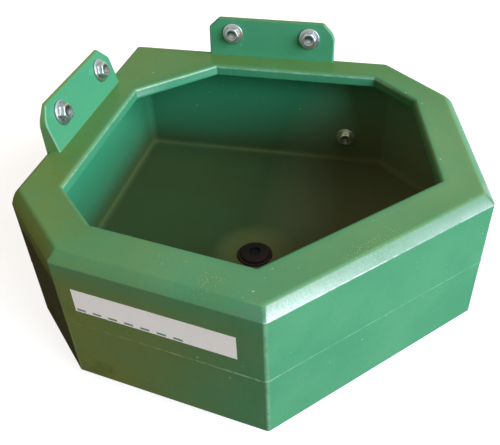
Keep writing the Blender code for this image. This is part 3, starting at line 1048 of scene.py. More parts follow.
@dataclass
class HexScrew:
    """A short hex-head screw with a dished face, threaded up to a plain neck."""

    flats: float = 0.017
    head: float = 0.0068
    face_radius: float = 0.008
    dish_radius: float = 0.0064
    dish_depth: float = 0.0013
    shank: float = 0.0048
    core: float = 0.0041
    length: float = 0.025
    tip: float = 0.0004
    neck: float = 0.004
    pitch: float = 0.0015
    chamfer: float = math.radians(30.0)
    # painted shade in a ring within the head's dish
    grime_radius: float = 0.72
    dish_shade_fade: float = 0.0024

    def profile(self) -> Profile:
        """The head and shank, as turned before the flats are cut.

        Returns:
            Radius and height of each point.
        """
        blank = self.flats / 2.0 * HEX_CORNER + 0.0003
        slope = (blank - self.face_radius) * math.tan(self.chamfer)
        dish = [(self.dish_radius * step / 6, self.head - self.dish_depth * math.cos(
            math.pi / 2.0 * step / 6)) for step in range(7)]
        return dish + [(self.face_radius, self.head), (blank, self.head - slope), (blank, 0.0),
                       (self.shank, 0.0), (self.shank, -self.neck), (self.core, -self.neck - 0.0008),
                       (self.core, -self.length + self.tip), (self.core - self.tip, -self.length),
                       (0.0, -self.length)]

    def build(self) -> Workpiece:
        """Turn the screw, cut its flats, add its thread and write where its head's dish gets painted shade.

        Returns:
            The screw along Z, with the head's seat at zero.
        """
        screw = turned("hex_screw", self.profile(), 48)
        bar = self.length + 2.0 * self.head
        screw.combine("INTERSECT", hexagon(self.flats, bar, self.head * 1.5 - bar / 2.0))
        screw.modify("BEVEL", width=0.0003, segments=2, limit_method="ANGLE",
                     angle_limit=math.radians(24.0), harden_normals=False)
        screw.combine("UNION", self.run_out())
        screw.smooth()
        screw.write("grime", [self.dish_shade_at(vertex.co) for vertex in screw.item.data.vertices])
        return screw

    def dish_shade_at(self, place: Vector) -> float:
        """How much painted shade a point of the head gets, most in a ring within its dish."""
        away = abs(math.hypot(place.x, place.y) - self.dish_radius * self.grime_radius) / self.dish_shade_fade
        return max(1.0 - away, 0.0) if place.z > self.head * 0.5 else 0.0

    def run_out(self) -> Workpiece:
        """The thread's ridge, which runs out at the chamfered end.

        Returns:
            The ridge.
        """
        root, tip = self.core - 0.0002, self.tip - self.length
        turns = int((self.length - self.neck) / self.pitch) - 1
        ridge = thread(root, self.shank, self.pitch, (0.38, 0.5, 0.88), turns, 32)
        for vertex in ridge.item.data.vertices:
            vertex.co.z += tip
            least = root / math.hypot(vertex.co.x, vertex.co.y)
            scale = least + (1.0 - least) * clamp((vertex.co.z - tip) / (2.0 * self.pitch))
            vertex.co.x *= scale
            vertex.co.y *= scale
        return ridge


@dataclass
class RoundWasher:
    """A large flat washer with stamped, rounded edges."""

    radius: float = 0.014
    bore: float = 0.0054
    thick: float = 0.0025

    def build(self) -> Workpiece:
        """The washer along Z, with its underside at zero."""
        corners = ((self.bore, 0.0), (self.bore, self.thick), (self.radius, self.thick), (self.radius, 0.0))
        return rounded_ring("washer", corners, (0.0002, 0.0004, 0.0009, 0.0003), 64).smooth()


@dataclass
class Fixings:
    """The six screws and washers, each modelled once and copied."""

    screw: HexScrew = field(default_factory=HexScrew)
    washer: RoundWasher = field(default_factory=RoundWasher)
    gap: float = 0.0003

    def build(self, zinc: bpy.types.Material) -> None:
        """Place a copy of both at every fixing.

        Args:
            zinc: Their finish.
        """
        screw, washer = self.screw.build(), self.washer.build()
        for fixing in FIXINGS:
            for model, kind, lift, slot in (
                    (washer, "washer", self.gap, "washer"),
                    (screw, "screw", self.washer.thick + 2.0 * self.gap, "fastener")):
                copy = model.copy(f"{fixing.wall.value}_{fixing.place}_zinc_{kind}")
                copy.turn_and_place(fixing.seat(lift)).finish(zinc, "bowl", fixing.node(kind), slot)
        for model in (screw, washer):
            bpy.data.objects.remove(model.item, do_unlink=True)


# The drain


@dataclass
class Drain:
    """The outlet in the floor: bush, seal, lock nut and the plug that lifts out."""

    seat: float = 0.0013
    floor_under: float = -0.004
    flange_radius: float = 0.0222
    flange: float = 0.002
    tube: float = 0.0185
    bore: float = 0.0155
    tail: float = 0.0175
    bush_pitch: float = 0.0025
    gasket_radius: float = 0.026
    gasket: float = 0.002
    nut_flats: float = 0.050
    nut: float = 0.008
    gap: float = 0.0003
    segments: int = 96

    def bush(self) -> Workpiece:
        """The flanged tube, with a thread outside its tail.

        Returns:
            The bush.
        """
        top, low, core = self.seat + self.flange, self.floor_under - self.tail, self.tube - 0.0009
        corners = ((self.bore, low), (self.bore, top), (self.flange_radius, top),
                   (self.flange_radius, self.seat), (core, self.seat), (core, low))
        radii = (0.0004, 0.0004, 0.0008, 0.0002, 0.0, 0.0005)
        bush = rounded_ring("drain_bush_black", corners, radii, self.segments)
        ridge = thread(core - 0.0003, self.tube, self.bush_pitch, (0.25, 0.45, 0.7), 5, 64)
        bush.combine("UNION", ridge.turn_and_place(Matrix.Translation((0.0, 0.0, low + 0.0008))))
        return bush

    def seal(self) -> Workpiece:
        """The squeezed rubber ring under the floor.

        Returns:
            The seal.
        """
        top, inner = self.floor_under - self.gap, self.tube + self.gap
        low = top - self.gasket
        corners = ((inner, low), (inner, top), (self.gasket_radius, top), (self.gasket_radius, low))
        return rounded_ring("drain_seal_ring", corners, (0.0002, 0.0002, 0.0007, 0.0007), self.segments)

    def lock_nut(self) -> Workpiece:
        """The hexagonal nut with its corners turned down.

        Returns:
            The nut.
        """
        top, inner = self.floor_under - 2.0 * self.gap - self.gasket, self.tube + self.gap
        low, face = top - self.nut, self.nut_flats / 2.0
        blank = face * HEX_CORNER + self.gap
        edge = (blank - face) * math.tan(math.radians(30.0))
        corners = ((inner, low), (inner, top), (face, top), (blank, top - edge), (blank, low + edge),
                   (face, low))
        nut = rounded_ring("drain_lock_nut", corners, (0.0005, 0.0005, 0.0, 0.0, 0.0, 0.0), self.segments)
        nut.combine("INTERSECT", hexagon(self.nut_flats, 2.0 * self.nut, (top + low) / 2.0))
        nut.modify("BEVEL", width=0.0006, segments=3, limit_method="ANGLE",
                   angle_limit=math.radians(28.0))
        return nut

    def plug(self) -> Workpiece:
        """The stopper: a dished head, a raised hub with a finger hole, and a stem.

        Returns:
            The plug.
        """
        low = self.seat + self.flange + self.gap
        hub, stem = low + 0.0052, self.bore - 0.0005
        corners = ((0.0, hub - 0.0032), (0.0056, hub - 0.0032), (0.0066, hub), (0.0100, hub),
                   (0.0170, hub - 0.0024), (0.0195, low), (stem, low), (stem, low - 0.006),
                   (stem - 0.0012, low - 0.014), (0.0, low - 0.014))
        radii = (0.0, 0.0010, 0.0007, 0.0120, 0.0050, 0.0004, 0.0003, 0.002, 0.001, 0.0)
        return turned("drain_plug_black", rounded_profile(corners, radii), self.segments)

    def build(self, plastic: bpy.types.Material, rubber: bpy.types.Material) -> None:
        """Model the four pieces on the Z axis, move them to the drain and dress them.

        Args:
            plastic: The bush's and the nut's finish.
            rubber: The seal's and the plug's.
        """
        for model, finish, body, node, slot in (
                (self.bush, plastic, "bowl", "drain_bush", "drain_fitting"),
                (self.lock_nut, plastic, "bowl", "drain_locknut", "drain_fitting"),
                (self.seal, rubber, "bowl", "drain_gasket", "rubber"),
                (self.plug, rubber, "plug", "drain_plug", "rubber")):
            piece = model().smooth().turn_and_place(Matrix.Translation((*DRAIN, 0.0)))
            piece.finish(finish, body, node, slot)


# The label


@dataclass
class Label:
    """A long paper label, stuck on the side beside the front corner."""

    start: Vector = field(default_factory=lambda: Vector((0.0776, -0.4488)))
    end: Vector = field(default_factory=lambda: Vector((0.28928, -0.48768)))
    from_corner: Pair = (0.0175, 0.187)
    heights: Pair = (0.0984, 0.1275)
    thick: float = 0.00014

    def way(self) -> Vector:
        """The way that the label runs, seen from above."""
        return (self.end - self.start).normalized()

    def build(self, bowl: Workpiece) -> Workpiece:
        """Lay a flat sheet on the bowl's side, so that it follows the side's slight hollow.

        Args:
            bowl: What it is stuck on.

        Returns:
            The label.
        """
        deselect_all()
        bpy.ops.mesh.primitive_grid_add(x_subdivisions=40, y_subdivisions=8, size=1.0)
        label = Workpiece("blank_label")
        along = self.way()
        middle = self.start + along * (sum(self.from_corner) / 2.0)
        turn = Matrix(((along.x, 0.0, along.y, middle.x), (along.y, 0.0, -along.x, middle.y),
                       (0.0, 1.0, 0.0, sum(self.heights) / 2.0), (0.0, 0.0, 0.0, 1.0)))
        long, tall = (far - near for near, far in (self.from_corner, self.heights))
        label.turn_and_place(Matrix.Diagonal((long, tall, 1.0, 1.0)))
        label.turn_and_place(turn)
        label.modify("SHRINKWRAP", target=bowl.item, wrap_method="NEAREST_SURFACEPOINT",
                     wrap_mode="ABOVE_SURFACE", offset=0.00004)
        label.modify("SOLIDIFY", thickness=self.thick, offset=1.0)
        return label.smooth()


# Finishes


ABOVE_RIM = ("Z", 0.1665, 0.1680)


class Nodes:
    """A node tree, added to and joined by short calls.

    Where a call takes an input, a socket is joined to it and a number or a colour is its value. A name
    is one of the measures, and a tuple that starts with a socket or a name is its span.
    """

    def __init__(self, tree: bpy.types.NodeTree) -> None:
        """Start on a tree."""
        self.tree = tree
        self.measures: dict[str, Socket] = {}

    def add(self, kind: str, inputs: dict[str | int, Input] | None = None,
            **settings: object) -> bpy.types.Node:
        """Add a node.

        Args:
            kind: Its type.
            inputs: What goes into it, by name or number.
            settings: Its other values.

        Returns:
            The node.
        """
        item = self.tree.nodes.new(kind)
        for key, value in settings.items():
            setattr(item, key, value)
        for key, value in (inputs or {}).items():
            self.feed(item.inputs[key], value)
        return item

    def feed(self, socket: Socket, value: Input) -> None:
        """Join an input to what goes into it, or give it a value.

        Args:
            socket: The input.
            value: What goes into it.
        """
        if isinstance(value, tuple) and isinstance(value[0], (str, Socket)):
            value = self.span(*value)
        elif isinstance(value, str):
            value = self.measure(value)
        if isinstance(value, Socket):
            self.tree.links.new(value, socket)
        else:
            socket.default_value = value

    def measure(self, name: str) -> Socket:
        """A measure of each point of a surface, made when it is first asked for.

        Args:
            name: X, Y or Z; "out" from the corner or "along" to the right, level and turned by 45
                degrees; "facing X", "facing Y" or "facing Z"; or a value written on the piece.

        Returns:
            Its value, in metres where it is a distance.
        """
        if name not in self.measures:
            if name in ("out", "along"):
                found = self.sum("SUBTRACT" if name == "out" else "ADD", "X", "Y")
            elif name[-1] in "XYZ":
                kind, output = (("ShaderNodeNewGeometry", "Normal") if name.startswith("facing")
                                else ("ShaderNodeTexCoord", "Object"))
                apart = self.add("ShaderNodeSeparateXYZ", {0: self.add(kind).outputs[output]})
                found = apart.outputs[name[-1]]
            else:
                found = self.add("ShaderNodeAttribute", attribute_name=name).outputs["Fac"]
            self.measures[name] = found
        return self.measures[name]

    def span(self, value: Input, low: float, high: float, first: float = 0.0, last: float = 1.0) -> Socket:
        """Stretch a value from one range to another, with its ends held."""
        return self.add("ShaderNodeMapRange", {"Value": value, "From Min": low, "From Max": high,
                                               "To Min": first, "To Max": last}).outputs["Result"]

    def sum(self, operation: str, first: Input, second: Input) -> Socket:
        """One sum of two values."""
        return self.add("ShaderNodeMath", {0: first, 1: second}, operation=operation).outputs[0]

    def product(self, *shares: Input) -> Input:
        """Several values multiplied.

        Args:
            shares: The values.

        Returns:
            Their product.
        """
        total = shares[0]
        for share in shares[1:]:
            total = self.sum("MULTIPLY", total, share)
        return total

    def blend(self, share: Input, first: Input, second: Input) -> Socket:
        """A value between two."""
        return self.add("ShaderNodeMix", {0: share, 2: first, 3: second}, data_type="FLOAT").outputs[0]

    def mix(self, share: Input, first: Input, second: Input) -> Socket:
        """A colour between two."""
        return self.add("ShaderNodeMix", {0: share, 6: first, 7: second}, data_type="RGBA").outputs[2]

    def coats(self, colour: Input, *coats: tuple[Input, ...]) -> Input:
        """Lay coats over a colour.

        Args:
            colour: What is beneath.
            coats: For each coat its colour, and the shares whose product says how well it covers.

        Returns:
            The colour with all of them on it.
        """
        for cover, *shares in coats:
            colour = self.mix(self.product(*shares), colour, cover)
        return colour


class NodeSheet(Nodes):
    """A material's nodes, and the textures that the finishes are made of."""

    def __init__(self, name: str) -> None:
        """Start a material with a name.

        Args:
            name: The name.
        """
        self.material = bpy.data.materials.new(name)
        self.material.use_nodes = True
        super().__init__(self.material.node_tree)
        self.shader = self.tree.nodes["Principled BSDF"]
        self.place = self.add("ShaderNodeTexCoord").outputs["Object"]

    def cloud(self, scale: float, detail: float = 2.0, roughness: float = 0.5) -> Socket:
        """Soft noise.

        Args:
            scale: How many patches there are to a metre.
            detail: How many finer layers it has.
            roughness: How strong those are.

        Returns:
            Its value.
        """
        return self.add("ShaderNodeTexNoise", {"Vector": self.place, "Scale": scale, "Detail": detail,
                                               "Roughness": roughness}).outputs["Fac"]

    def upright(self, x: float, y: float) -> Socket:
        """The distance from an upright line, in metres.

        Args:
            x: Where the line is along the back wall.
            y: Where it is along the left wall.

        Returns:
            The distance.
        """
        flat = self.add("ShaderNodeCombineXYZ", {0: "X", 1: "Y"}).outputs[0]
        return self.add("ShaderNodeVectorMath", {0: flat, 1: (x, y, 0.0)},
                        operation="DISTANCE").outputs["Value"]

    def band(self, value: Input, middle: float, half: float) -> Socket:
        """1 at the middle of a range, falling to 0 at its ends."""
        away = self.add("ShaderNodeMath", {0: self.sum("SUBTRACT", value, middle)}, operation="ABSOLUTE")
        return self.span(away.outputs[0], 0.0, half, 1.0, 0.0)

    def specks(self, cells: float, size: float, kept: float) -> Socket:
        """Small round specks, at most one to a cell.

        Args:
            cells: How many cells there are to a metre.
            size: A speck's radius, as a share of its cell.
            kept: The share of cells that have one.

        Returns:
            1 on a speck and 0 between them.
        """
        cell = self.add("ShaderNodeTexVoronoi", {"Vector": self.place, "Scale": cells})
        chosen = self.add("ShaderNodeSeparateColor", {0: cell.outputs["Color"]}).outputs[0]
        return self.sum("MULTIPLY", (cell.outputs["Distance"], size * 0.6, size, 1.0, 0.0),
                        self.sum("LESS_THAN", chosen, kept))

    def bump(self, height: Socket, depth: float, under: Socket | None = None) -> Socket:
        """A bumped normal.

        Args:
            height: The relief.
            depth: Its depth in metres.
            under: Another bumped normal that it lies on.

        Returns:
            The normal.
        """
        inputs = {"Height": height, "Distance": depth, "Strength": 1.0}
        if under is not None:
            inputs["Normal"] = under
        return self.add("ShaderNodeBump", inputs).outputs["Normal"]

    def set(self, **values: Input) -> bpy.types.Material:
        """Set the shader's sockets.

        Args:
            values: What goes into each, with _ for each space in its name.

        Returns:
            The material.
        """
        for key, value in values.items():
            self.feed(self.shader.inputs[key.replace("_", " ")], value)
        return self.material


@dataclass(frozen=True)
class MouldedGreen:
    """Rotationally moulded polyethylene: satin, faintly clouded, rubbed at its edges and soiled in use, with
    painted light on the tabs, painted highlights on the rubbed edges and painted light and shade among the
    feed and mud.
    """

    deep: Colour = (0.064, 0.268, 0.144, 1.0)
    light: Colour = (0.086, 0.304, 0.165, 1.0)
    # painted light: a paler green on the tabs, for the light that falls on them
    clean: Colour = (0.055, 0.335, 0.180, 1.0)
    sheltered: Colour = (0.018, 0.280, 0.148, 1.0)
    shaded: Colour = (0.020, 0.150, 0.095, 1.0)
    olive: Colour = (0.106, 0.226, 0.044, 1.0)
    dust: Colour = (0.260, 0.370, 0.130, 1.0)
    pale: Colour = (0.42, 0.62, 0.42, 1.0)
    # whitish colour of rubbed places, also a painted highlight on the front right bevel, the seam and the lip
    rubbed: Colour = (0.70, 0.77, 0.79, 1.0)
    # feed dust, also painted shade that darkens the inside towards the floor
    feed: Colour = (0.054, 0.041, 0.006, 1.0)
    # pale dry feed, also painted light on the shaded right of the inside
    dry_feed: Colour = (0.42, 0.44, 0.28, 1.0)
    # painted light: a pale ring on the dish round the drain, part dust, and a painted highlight along the
    # floor's fillet
    stain: Colour = (0.26, 0.27, 0.09, 1.0)
    # mud, dry and wet, also painted shade at the left end and on the faces that look left
    mud_and_shade: Colour = (0.250, 0.215, 0.018, 1.0)
    wet_mud: Colour = (0.060, 0.044, 0.013, 1.0)
    grit: Colour = (0.62, 0.60, 0.28, 1.0)
    polished: Pair = (0.30, 0.42)
    matt: Pair = (0.55, 0.68)
    muddy: float = 0.92
    polished_above: float = 0.152
    bevel_foot: float = 0.1555
    seam_top: float = 0.0783
    front_right: float = 0.7755
    grains: tuple[tuple[float, ...], ...] = ((150.0, 0.11, 0.16, 0.5), (95.0, 0.12, 0.05, 0.85))
    uprights: tuple[tuple[float, ...], ...] = ((0.2888, -0.4860, 0.30), (0.0782, -0.4474, 0.30))
    gritty: tuple[tuple[float, ...], ...] = ((0.754, -0.012, 0.075), (0.690, -0.222, 0.032))

    def make(self) -> bpy.types.Material:
        """Lay every coat, from the plastic itself to the mud and the nicks in it, painted light and shade
        among them.

        Returns:
            The material.
        """
        sheet = NodeSheet("moulded_green")
        patches, grain = sheet.cloud(26.0, 4.0, 0.65), sheet.cloud(700.0)
        right = sheet.span("out", 0.735, 0.750)
        above = sheet.span("Z", self.bevel_foot - 0.001, self.bevel_foot)
        hidden = sheet.sum("MAXIMUM", sheet.product("inside", 0.65),
                           sheet.product("lip", ("facing Z", 0.22, 0.05), 0.40))
        # painted light: the tabs are laid over in a paler green
        colour = sheet.coats(
            self.clouded(sheet, grain), (self.clean, ABOVE_RIM, 0.5), (self.sheltered, hidden),
            (self.shaded, above, ("facing Z", 0.76, 0.86, 1.0, 0.0), right, ("along", -0.2, 0.1, 0.45, 0.6)))
        colour = self.specks(sheet, self.weathered(sheet, colour, above))
        colour = self.nicks(sheet, self.soil_and_shade(sheet, self.rub(sheet, colour), patches))
        rough = sheet.blend(("Z", self.polished_above, self.polished_above + 0.004),
                            (patches, 0.3, 0.7, *self.matt), (patches, 0.3, 0.7, *self.polished))
        peel = sheet.bump(sheet.cloud(230.0, 3.0, 0.55), 0.00016)
        return sheet.set(Base_Color=colour, Roughness=sheet.blend(("soil_and_shade", 0.0, -0.4), rough, self.muddy),
                         Normal=sheet.bump(grain, 0.00003, peel), Specular_IOR_Level=0.015,
                         Coat_Weight=sheet.product(above, (patches, 0.3, 0.6, 0.75, 1.0),
                                                   self.gloss(sheet, right)),
                         Coat_Roughness=0.26)

    def gloss(self, sheet: NodeSheet, right: Socket) -> Socket:
        """How much of a polish each part above the bevel's foot has.

        Args:
            sheet: The material under work.
            right: 1 on the front right side.

        Returns:
            The polish, from 0 to 1.
        """
        sides = sheet.sum("ADD", ("along", -0.2, -0.08, 1.0, 0.76), ("along", 0.02, 0.14, 0.0, 0.09))
        gloss = sheet.product(sheet.blend(right, ("along", 0.0, 0.2, 0.04, 0.15), 1.0), sides)
        gloss = sheet.blend(ABOVE_RIM, sheet.blend(("facing Z", 0.86, 0.98, 1.0, 0.0), 0.12, gloss), 0.3)
        return sheet.blend("lip", gloss, sheet.product(sheet.band("facing Z", 0.55, 0.40),
                                                       ("out", 0.42, 0.46, 1.0, 0.12)))

    def clouded(self, sheet: NodeSheet, grain: Socket) -> Socket:
        """The plastic's own colour, in faint clouds."""
        clouds = (sheet.cloud(9.0, 4.0, 0.6), 0.35, 0.65)
        return sheet.mix(sheet.sum("ADD", clouds, (grain, 0.3, 0.7, -0.25, 0.25)), self.deep, self.light)

    def weathered(self, sheet: NodeSheet, colour: Socket, above: Socket) -> Socket:
        """Lay mud with painted shade on the faces that look left, an olive film that is heaviest by the
        walls, and pale dust at the right on top.

        Args:
            sheet: The material under work.
            colour: The colour beneath.
            above: 1 from the bevel's foot up.

        Returns:
            The colour with all of them on it.
        """
        above = sheet.product(above, ("lip", 0.0, 1.0, 1.0, 0.6))
        broken = sheet.span(sheet.cloud(34.0, 4.0, 0.6), 0.3, 0.7, 0.8, 1.15)
        return sheet.coats(
            colour,
            # mud, and painted shade on the faces that look left
            (self.mud_and_shade, above, ("facing X", -0.35, -0.48), broken, 0.36),
            (self.olive, above, ("facing Z", 0.35, 0.85), broken, ("out", 0.35, 0.66, 0.75, 0.16)),
            (self.olive, ABOVE_RIM, ("X", 0.03, 0.02), ("facing Y", -0.75, -0.95), broken, 0.65),
            (self.mud_and_shade, ABOVE_RIM, ("X", 0.0024, 0.0010), ("facing Z", 0.2, 0.5), 0.8),
            (self.dust, above, ("facing Z", 0.76, 0.90), broken, ("out", 0.4, 0.65),
             ("along", -0.25, 0.25, 0.10, 0.38)))

    def specks(self, sheet: NodeSheet, colour: Socket) -> Socket:
        """Pale grains moulded into the skin, a few of them larger."""
        return sheet.coats(colour, *((self.pale, sheet.specks(cells, size, kept), share)
                                     for cells, size, kept, share in self.grains))

    def rub(self, sheet: NodeSheet, colour: Socket) -> Socket:
        """Whiten what gets rubbed: the seam's flash, the bevel and its foot at the right, and the lip; on all
        but the flash's chips the whitening is also a painted highlight.

        Args:
            sheet: The material under work.
            colour: The colour beneath.

        Returns:
            The colour with the rubbed places and their painted highlight, two spots of grit and the flash's
            chips on it.
        """
        foot = self.bevel_foot
        right = sheet.span("out", self.front_right - 0.002, self.front_right)
        broken = sheet.span(sheet.cloud(120.0, 3.0, 0.6), 0.38, 0.62, 0.25, 1.0)
        ends = sheet.sum("ADD", ("along", -0.2, -0.02, 1.8, 0.14), ("along", 0.02, 0.16, 0.0, 0.35))
        spots = [(sheet.product(sheet.band("out", out, 0.022), sheet.band("along", along, half),
                                ("Z", foot, foot + 0.002)), 0.0, 0.6) for out, along, half in self.gritty]
        return sheet.coats(
            colour,
            # whitening by rubbing, also a painted highlight: a haze on the front right bevel, a line along
            # its foot, the seam at the right and the lip's edge
            (self.rubbed, ("Z", foot - 0.001, foot), ends, ("facing X", 0.30, 0.42),
             ("facing Y", -0.30, -0.42), ("Z", foot, 0.1650, 0.34, 0.10),
             (sheet.cloud(420.0, 4.0, 0.7), 0.38, 0.60, 0.60, 1.10)),
            (self.rubbed, sheet.band("Z", foot, 0.0010), right, broken, ("along", -0.02, 0.10, 0.85, 0.30)),
            (self.rubbed, sheet.band("Z", self.seam_top, 0.0007), right, broken,
             ("along", -0.17, -0.13, 0.65, 0.22)),
            (self.rubbed, sheet.band("facing Z", 0.40, 0.30), "lip", broken, ("out", 0.42, 0.46, 0.28, 0.05)),
            *((self.grit, sheet.specks(520.0, 0.30, 0.5), spot, 0.6) for spot in spots),
            (self.pale, sheet.band("Z", self.seam_top - 0.0008, 0.0018), ("inside", 0.0, 0.5, 1.0, 0.0),
             ("X", 0.001, 0.004), ("Y", -0.001, -0.004), ("X", 0.19, 0.24, 0.45, 1.0),
             sheet.sum("SUBTRACT", 1.0, right), (sheet.cloud(90.0, 4.0, 0.7), 0.46, 0.56, 0.20, 0.95)))

    def nicks(self, sheet: NodeSheet, colour: Socket) -> Socket:
        """The pale, nicked lines down two upright corners, which are also a painted highlight on them.

        Args:
            sheet: The material under work.
            colour: The colour beneath.

        Returns:
            The colour with the lines on it.
        """
        # pale lines of nicked wear, also a painted highlight down the two corners
        nicked = sheet.span(sheet.cloud(150.0, 4.0, 0.7), 0.40, 0.60, 0.35, 1.0)
        return sheet.coats(colour, *((self.pale, (sheet.upright(x, y), 0.0011, 0.0026, most, 0.0), nicked)
                                     for x, y, most in self.uprights))

    def soil_and_shade(self, sheet: NodeSheet, colour: Socket, patches: Socket) -> Socket:
        """Feed dust and painted shade inside, where the value written on the moulding is above 0, and mud and
        painted shade outside, where below; and painted light on the inside's right, round the drain and along
        the floor's fillet.

        Args:
            sheet: The material under work.
            colour: The colour beneath.
            patches: Soft noise that the mud and its painted shade are broken up by.

        Returns:
            The colour with both on it.
        """
        slow, away = sheet.cloud(5.0), sheet.upright(*DRAIN)
        # the feed's painted shade thins on the lit upper left wall
        lit_left_wall = sheet.product(("Z", 0.012, 0.05), ("X", 0.24, 0.10), 0.4)
        reach = sheet.sum("SUBTRACT", "X", sheet.sum("MULTIPLY", "Z", 0.35))
        # painted light on the dish's slope round the drain, part dust
        dish_light = sheet.product((away, 0.030, 0.058, 0.34, 0.0), ("soil_and_shade", 0.8, 1.0))
        # painted highlight along the floor's fillet
        fillet_highlight = sheet.product("inside", sheet.band("Z", 0.0080, 0.0020), (away, 0.09, 0.12),
                               ("X", 0.06, 0.30, 0.14, 0.40))
        caked = sheet.sum("SUBTRACT", (sheet.cloud(13.0, 5.0, 0.65), 0.25, 0.75, 0.18, -0.18), "soil_and_shade")
        return sheet.coats(
            colour,
            # feed dust, and painted shade darker towards the floor
            (self.feed, ("soil_and_shade", 0.0, 1.0), (slow, 0.3, 0.7, 0.72, 0.82), sheet.sum("SUBTRACT", 1.0, lit_left_wall)),
            # pale dry feed, and painted light on the shaded right of the inside
            (self.dry_feed, "inside", (reach, 0.20, 0.42), (slow, 0.3, 0.7, 0.50, 0.58)),
            (self.stain, sheet.sum("ADD", dish_light, fillet_highlight)),
            # mud, and painted shade at the left end
            (sheet.mix((caked, 0.66, 0.86), self.mud_and_shade, self.wet_mud), ("soil_and_shade", 0.0, -0.12),
             (caked, 0.0, 1.0), (patches, 0.3, 0.7, 0.85, 1.05)))


@dataclass(frozen=True)
class LabelPaper:
    """White coated paper, a little greyed, with a plain row of dashes along its lower edge."""

    white: Colour = (0.96, 0.98, 1.0, 1.0)
    greyed: Colour = (0.92, 0.94, 0.96, 1.0)
    ink: Colour = (0.004, 0.085, 0.042, 1.0)
    dash: float = 0.0097
    pitch: float = 0.0173
    count: int = 7
    first: float = 0.0018
    level: float = 0.1012
    half: float = 0.0016

    def make(self, label: Label) -> bpy.types.Material:
        """Print the dashes on the paper.

        Args:
            label: What it is for.

        Returns:
            The material.
        """
        sheet = NodeSheet("label_paper_white")
        way = label.way()
        start = label.start.dot(way) + label.from_corner[0] + self.first
        reach = sheet.sum("ADD", sheet.sum("MULTIPLY", "X", way.x), sheet.sum("MULTIPLY", "Y", way.y))
        reach = sheet.sum("SUBTRACT", reach, start)
        paper = sheet.mix((sheet.cloud(40.0, 4.0, 0.6), 0.45, 0.75), self.white, self.greyed)
        colour = sheet.coats(paper, (
            self.ink, sheet.sum("GREATER_THAN", reach, 0.0),
            sheet.sum("LESS_THAN", reach, self.pitch * self.count),
            sheet.sum("LESS_THAN", sheet.sum("MODULO", reach, self.pitch), self.dash),
            (sheet.band("Z", self.level, self.half), 0.0, 0.25)))
        return sheet.set(Base_Color=colour, Roughness=(sheet.cloud(300.0), 0.3, 0.7, 0.35, 0.45),
                         Coat_Weight=0.5, Coat_Roughness=0.12,
                         Normal=sheet.bump(sheet.cloud(180.0), 0.00004))


@dataclass(frozen=True)
class ZincPlate:
    """Bright zinc plate, faintly gold and blue in patches."""

    steel: Colour = (0.50, 0.54, 0.54, 1.0)
    gold: Colour = (0.52, 0.47, 0.36, 1.0)
    blue: Colour = (0.50, 0.58, 0.70, 1.0)
    # painted shade in the heads' dishes
    grime: Colour = (0.085, 0.085, 0.085, 1.0)
    dusty: Colour = (0.66, 0.68, 0.40, 1.0)

    def make(self) -> bpy.types.Material:
        """Lay gold and blue patches, dust, and painted shade in the heads' dishes, on the steel.

        Returns:
            The material.
        """
        sheet = NodeSheet("zinc_plate_bright")
        patch = sheet.cloud(160.0)
        colour = sheet.coats(self.steel, (self.gold, (patch, 0.5, 0.7)), (self.blue, (patch, 0.5, 0.3)),
                             (self.dusty, ("Z", 0.12, 0.10, 0.0, 0.5)), (self.grime, "grime", 0.85))
        return sheet.set(Base_Color=colour, Metallic=1.0, Normal=sheet.bump(sheet.cloud(900.0), 0.00002),
                         Roughness=(sheet.cloud(500.0, 3.0), 0.3, 0.7, 0.30, 0.48))


@dataclass(frozen=True)
class BlackPlastic:
    """Black moulded plastic or rubber, with brown feed dust in patches and painted shade in the plug's finger
    hole.
    """

    name: str
    roughness: float
    black: Colour = (0.006, 0.005, 0.005, 1.0)
    dusty: Colour = (0.044, 0.020, 0.015, 1.0)
    # painted shade: near black in the plug's finger hole
    hollow: Colour = (0.0008, 0.0007, 0.0007, 1.0)

    def make(self) -> bpy.types.Material:
        """Lay the dust on the black, and paint shade into the finger hole.

        Returns:
            The material.
        """
        sheet = NodeSheet(self.name)
        dust = sheet.sum("MAXIMUM", (sheet.cloud(90.0, 4.0, 0.6), 0.45, 0.75, 0.0, 0.35),
                         sheet.product(("facing Z", 0.985, 0.90), 0.6))
        # the last coat is painted shade in the finger hole
        colour = sheet.coats(self.black, (self.dusty, dust),
                             (self.hollow, (sheet.upright(*DRAIN), 0.0078, 0.0070)))
        rough = (sheet.cloud(300.0, 3.0), 0.3, 0.7, self.roughness - 0.06, self.roughness + 0.08)
        return sheet.set(Base_Color=colour, Roughness=rough, Specular_IOR_Level=0.15,
                         Normal=sheet.bump(sheet.cloud(1200.0), 0.00003))


# Studio


def direction(azimuth: float, elevation: float) -> Vector:
    """The way from the bowl to a place, by its angles in degrees from the front and the level."""
    around, up = math.radians(azimuth), math.radians(elevation)
    return Vector((math.sin(around) * math.cos(up), -math.cos(around) * math.cos(up), math.sin(up)))


def stand(data: bpy.types.ID, place: Vector, back: Vector, roll: float = 0.0) -> bpy.types.Object:
    """Stand a lamp or the camera in the room.

    Args:
        data: The lamp's or the camera's own data.
        place: Where it stands.
        back: The way that its back faces.
        roll: How far it is rolled, in degrees.

    Returns:
        The object.
    """
    item = bpy.data.objects.new(data.name, data)
    bpy.context.scene.collection.objects.link(item)
    item.location = place
    item.rotation_mode = "QUATERNION"
    rolled = Matrix.Rotation(math.radians(roll), 4, "Z").to_quaternion()
    item.rotation_quaternion = (-back).to_track_quat("-Z", "Y") @ rolled
    return item


@dataclass
class Lamp:
    """A soft lamp: where it is seen from the bowl, its size, colour and strength."""

    name: str
    azimuth: float
    elevation: float
    distance: float
    width: float
    tall: float
    colour: tuple[float, float, float]
    watts: float
    aim: tuple[float, float, float] = (*BOWL_MIDDLE, 0.1)

    def build(self) -> None:
        """Place the lamp and turn it to the bowl."""
        data = bpy.data.lights.new(self.name, "AREA")
        data.shape = "RECTANGLE"
        data.size, data.size_y = self.width, self.tall
        data.energy, data.color = self.watts, self.colour
        back = direction(self.azimuth, self.elevation)
        stand(data, Vector(self.aim) + back * self.distance, back)


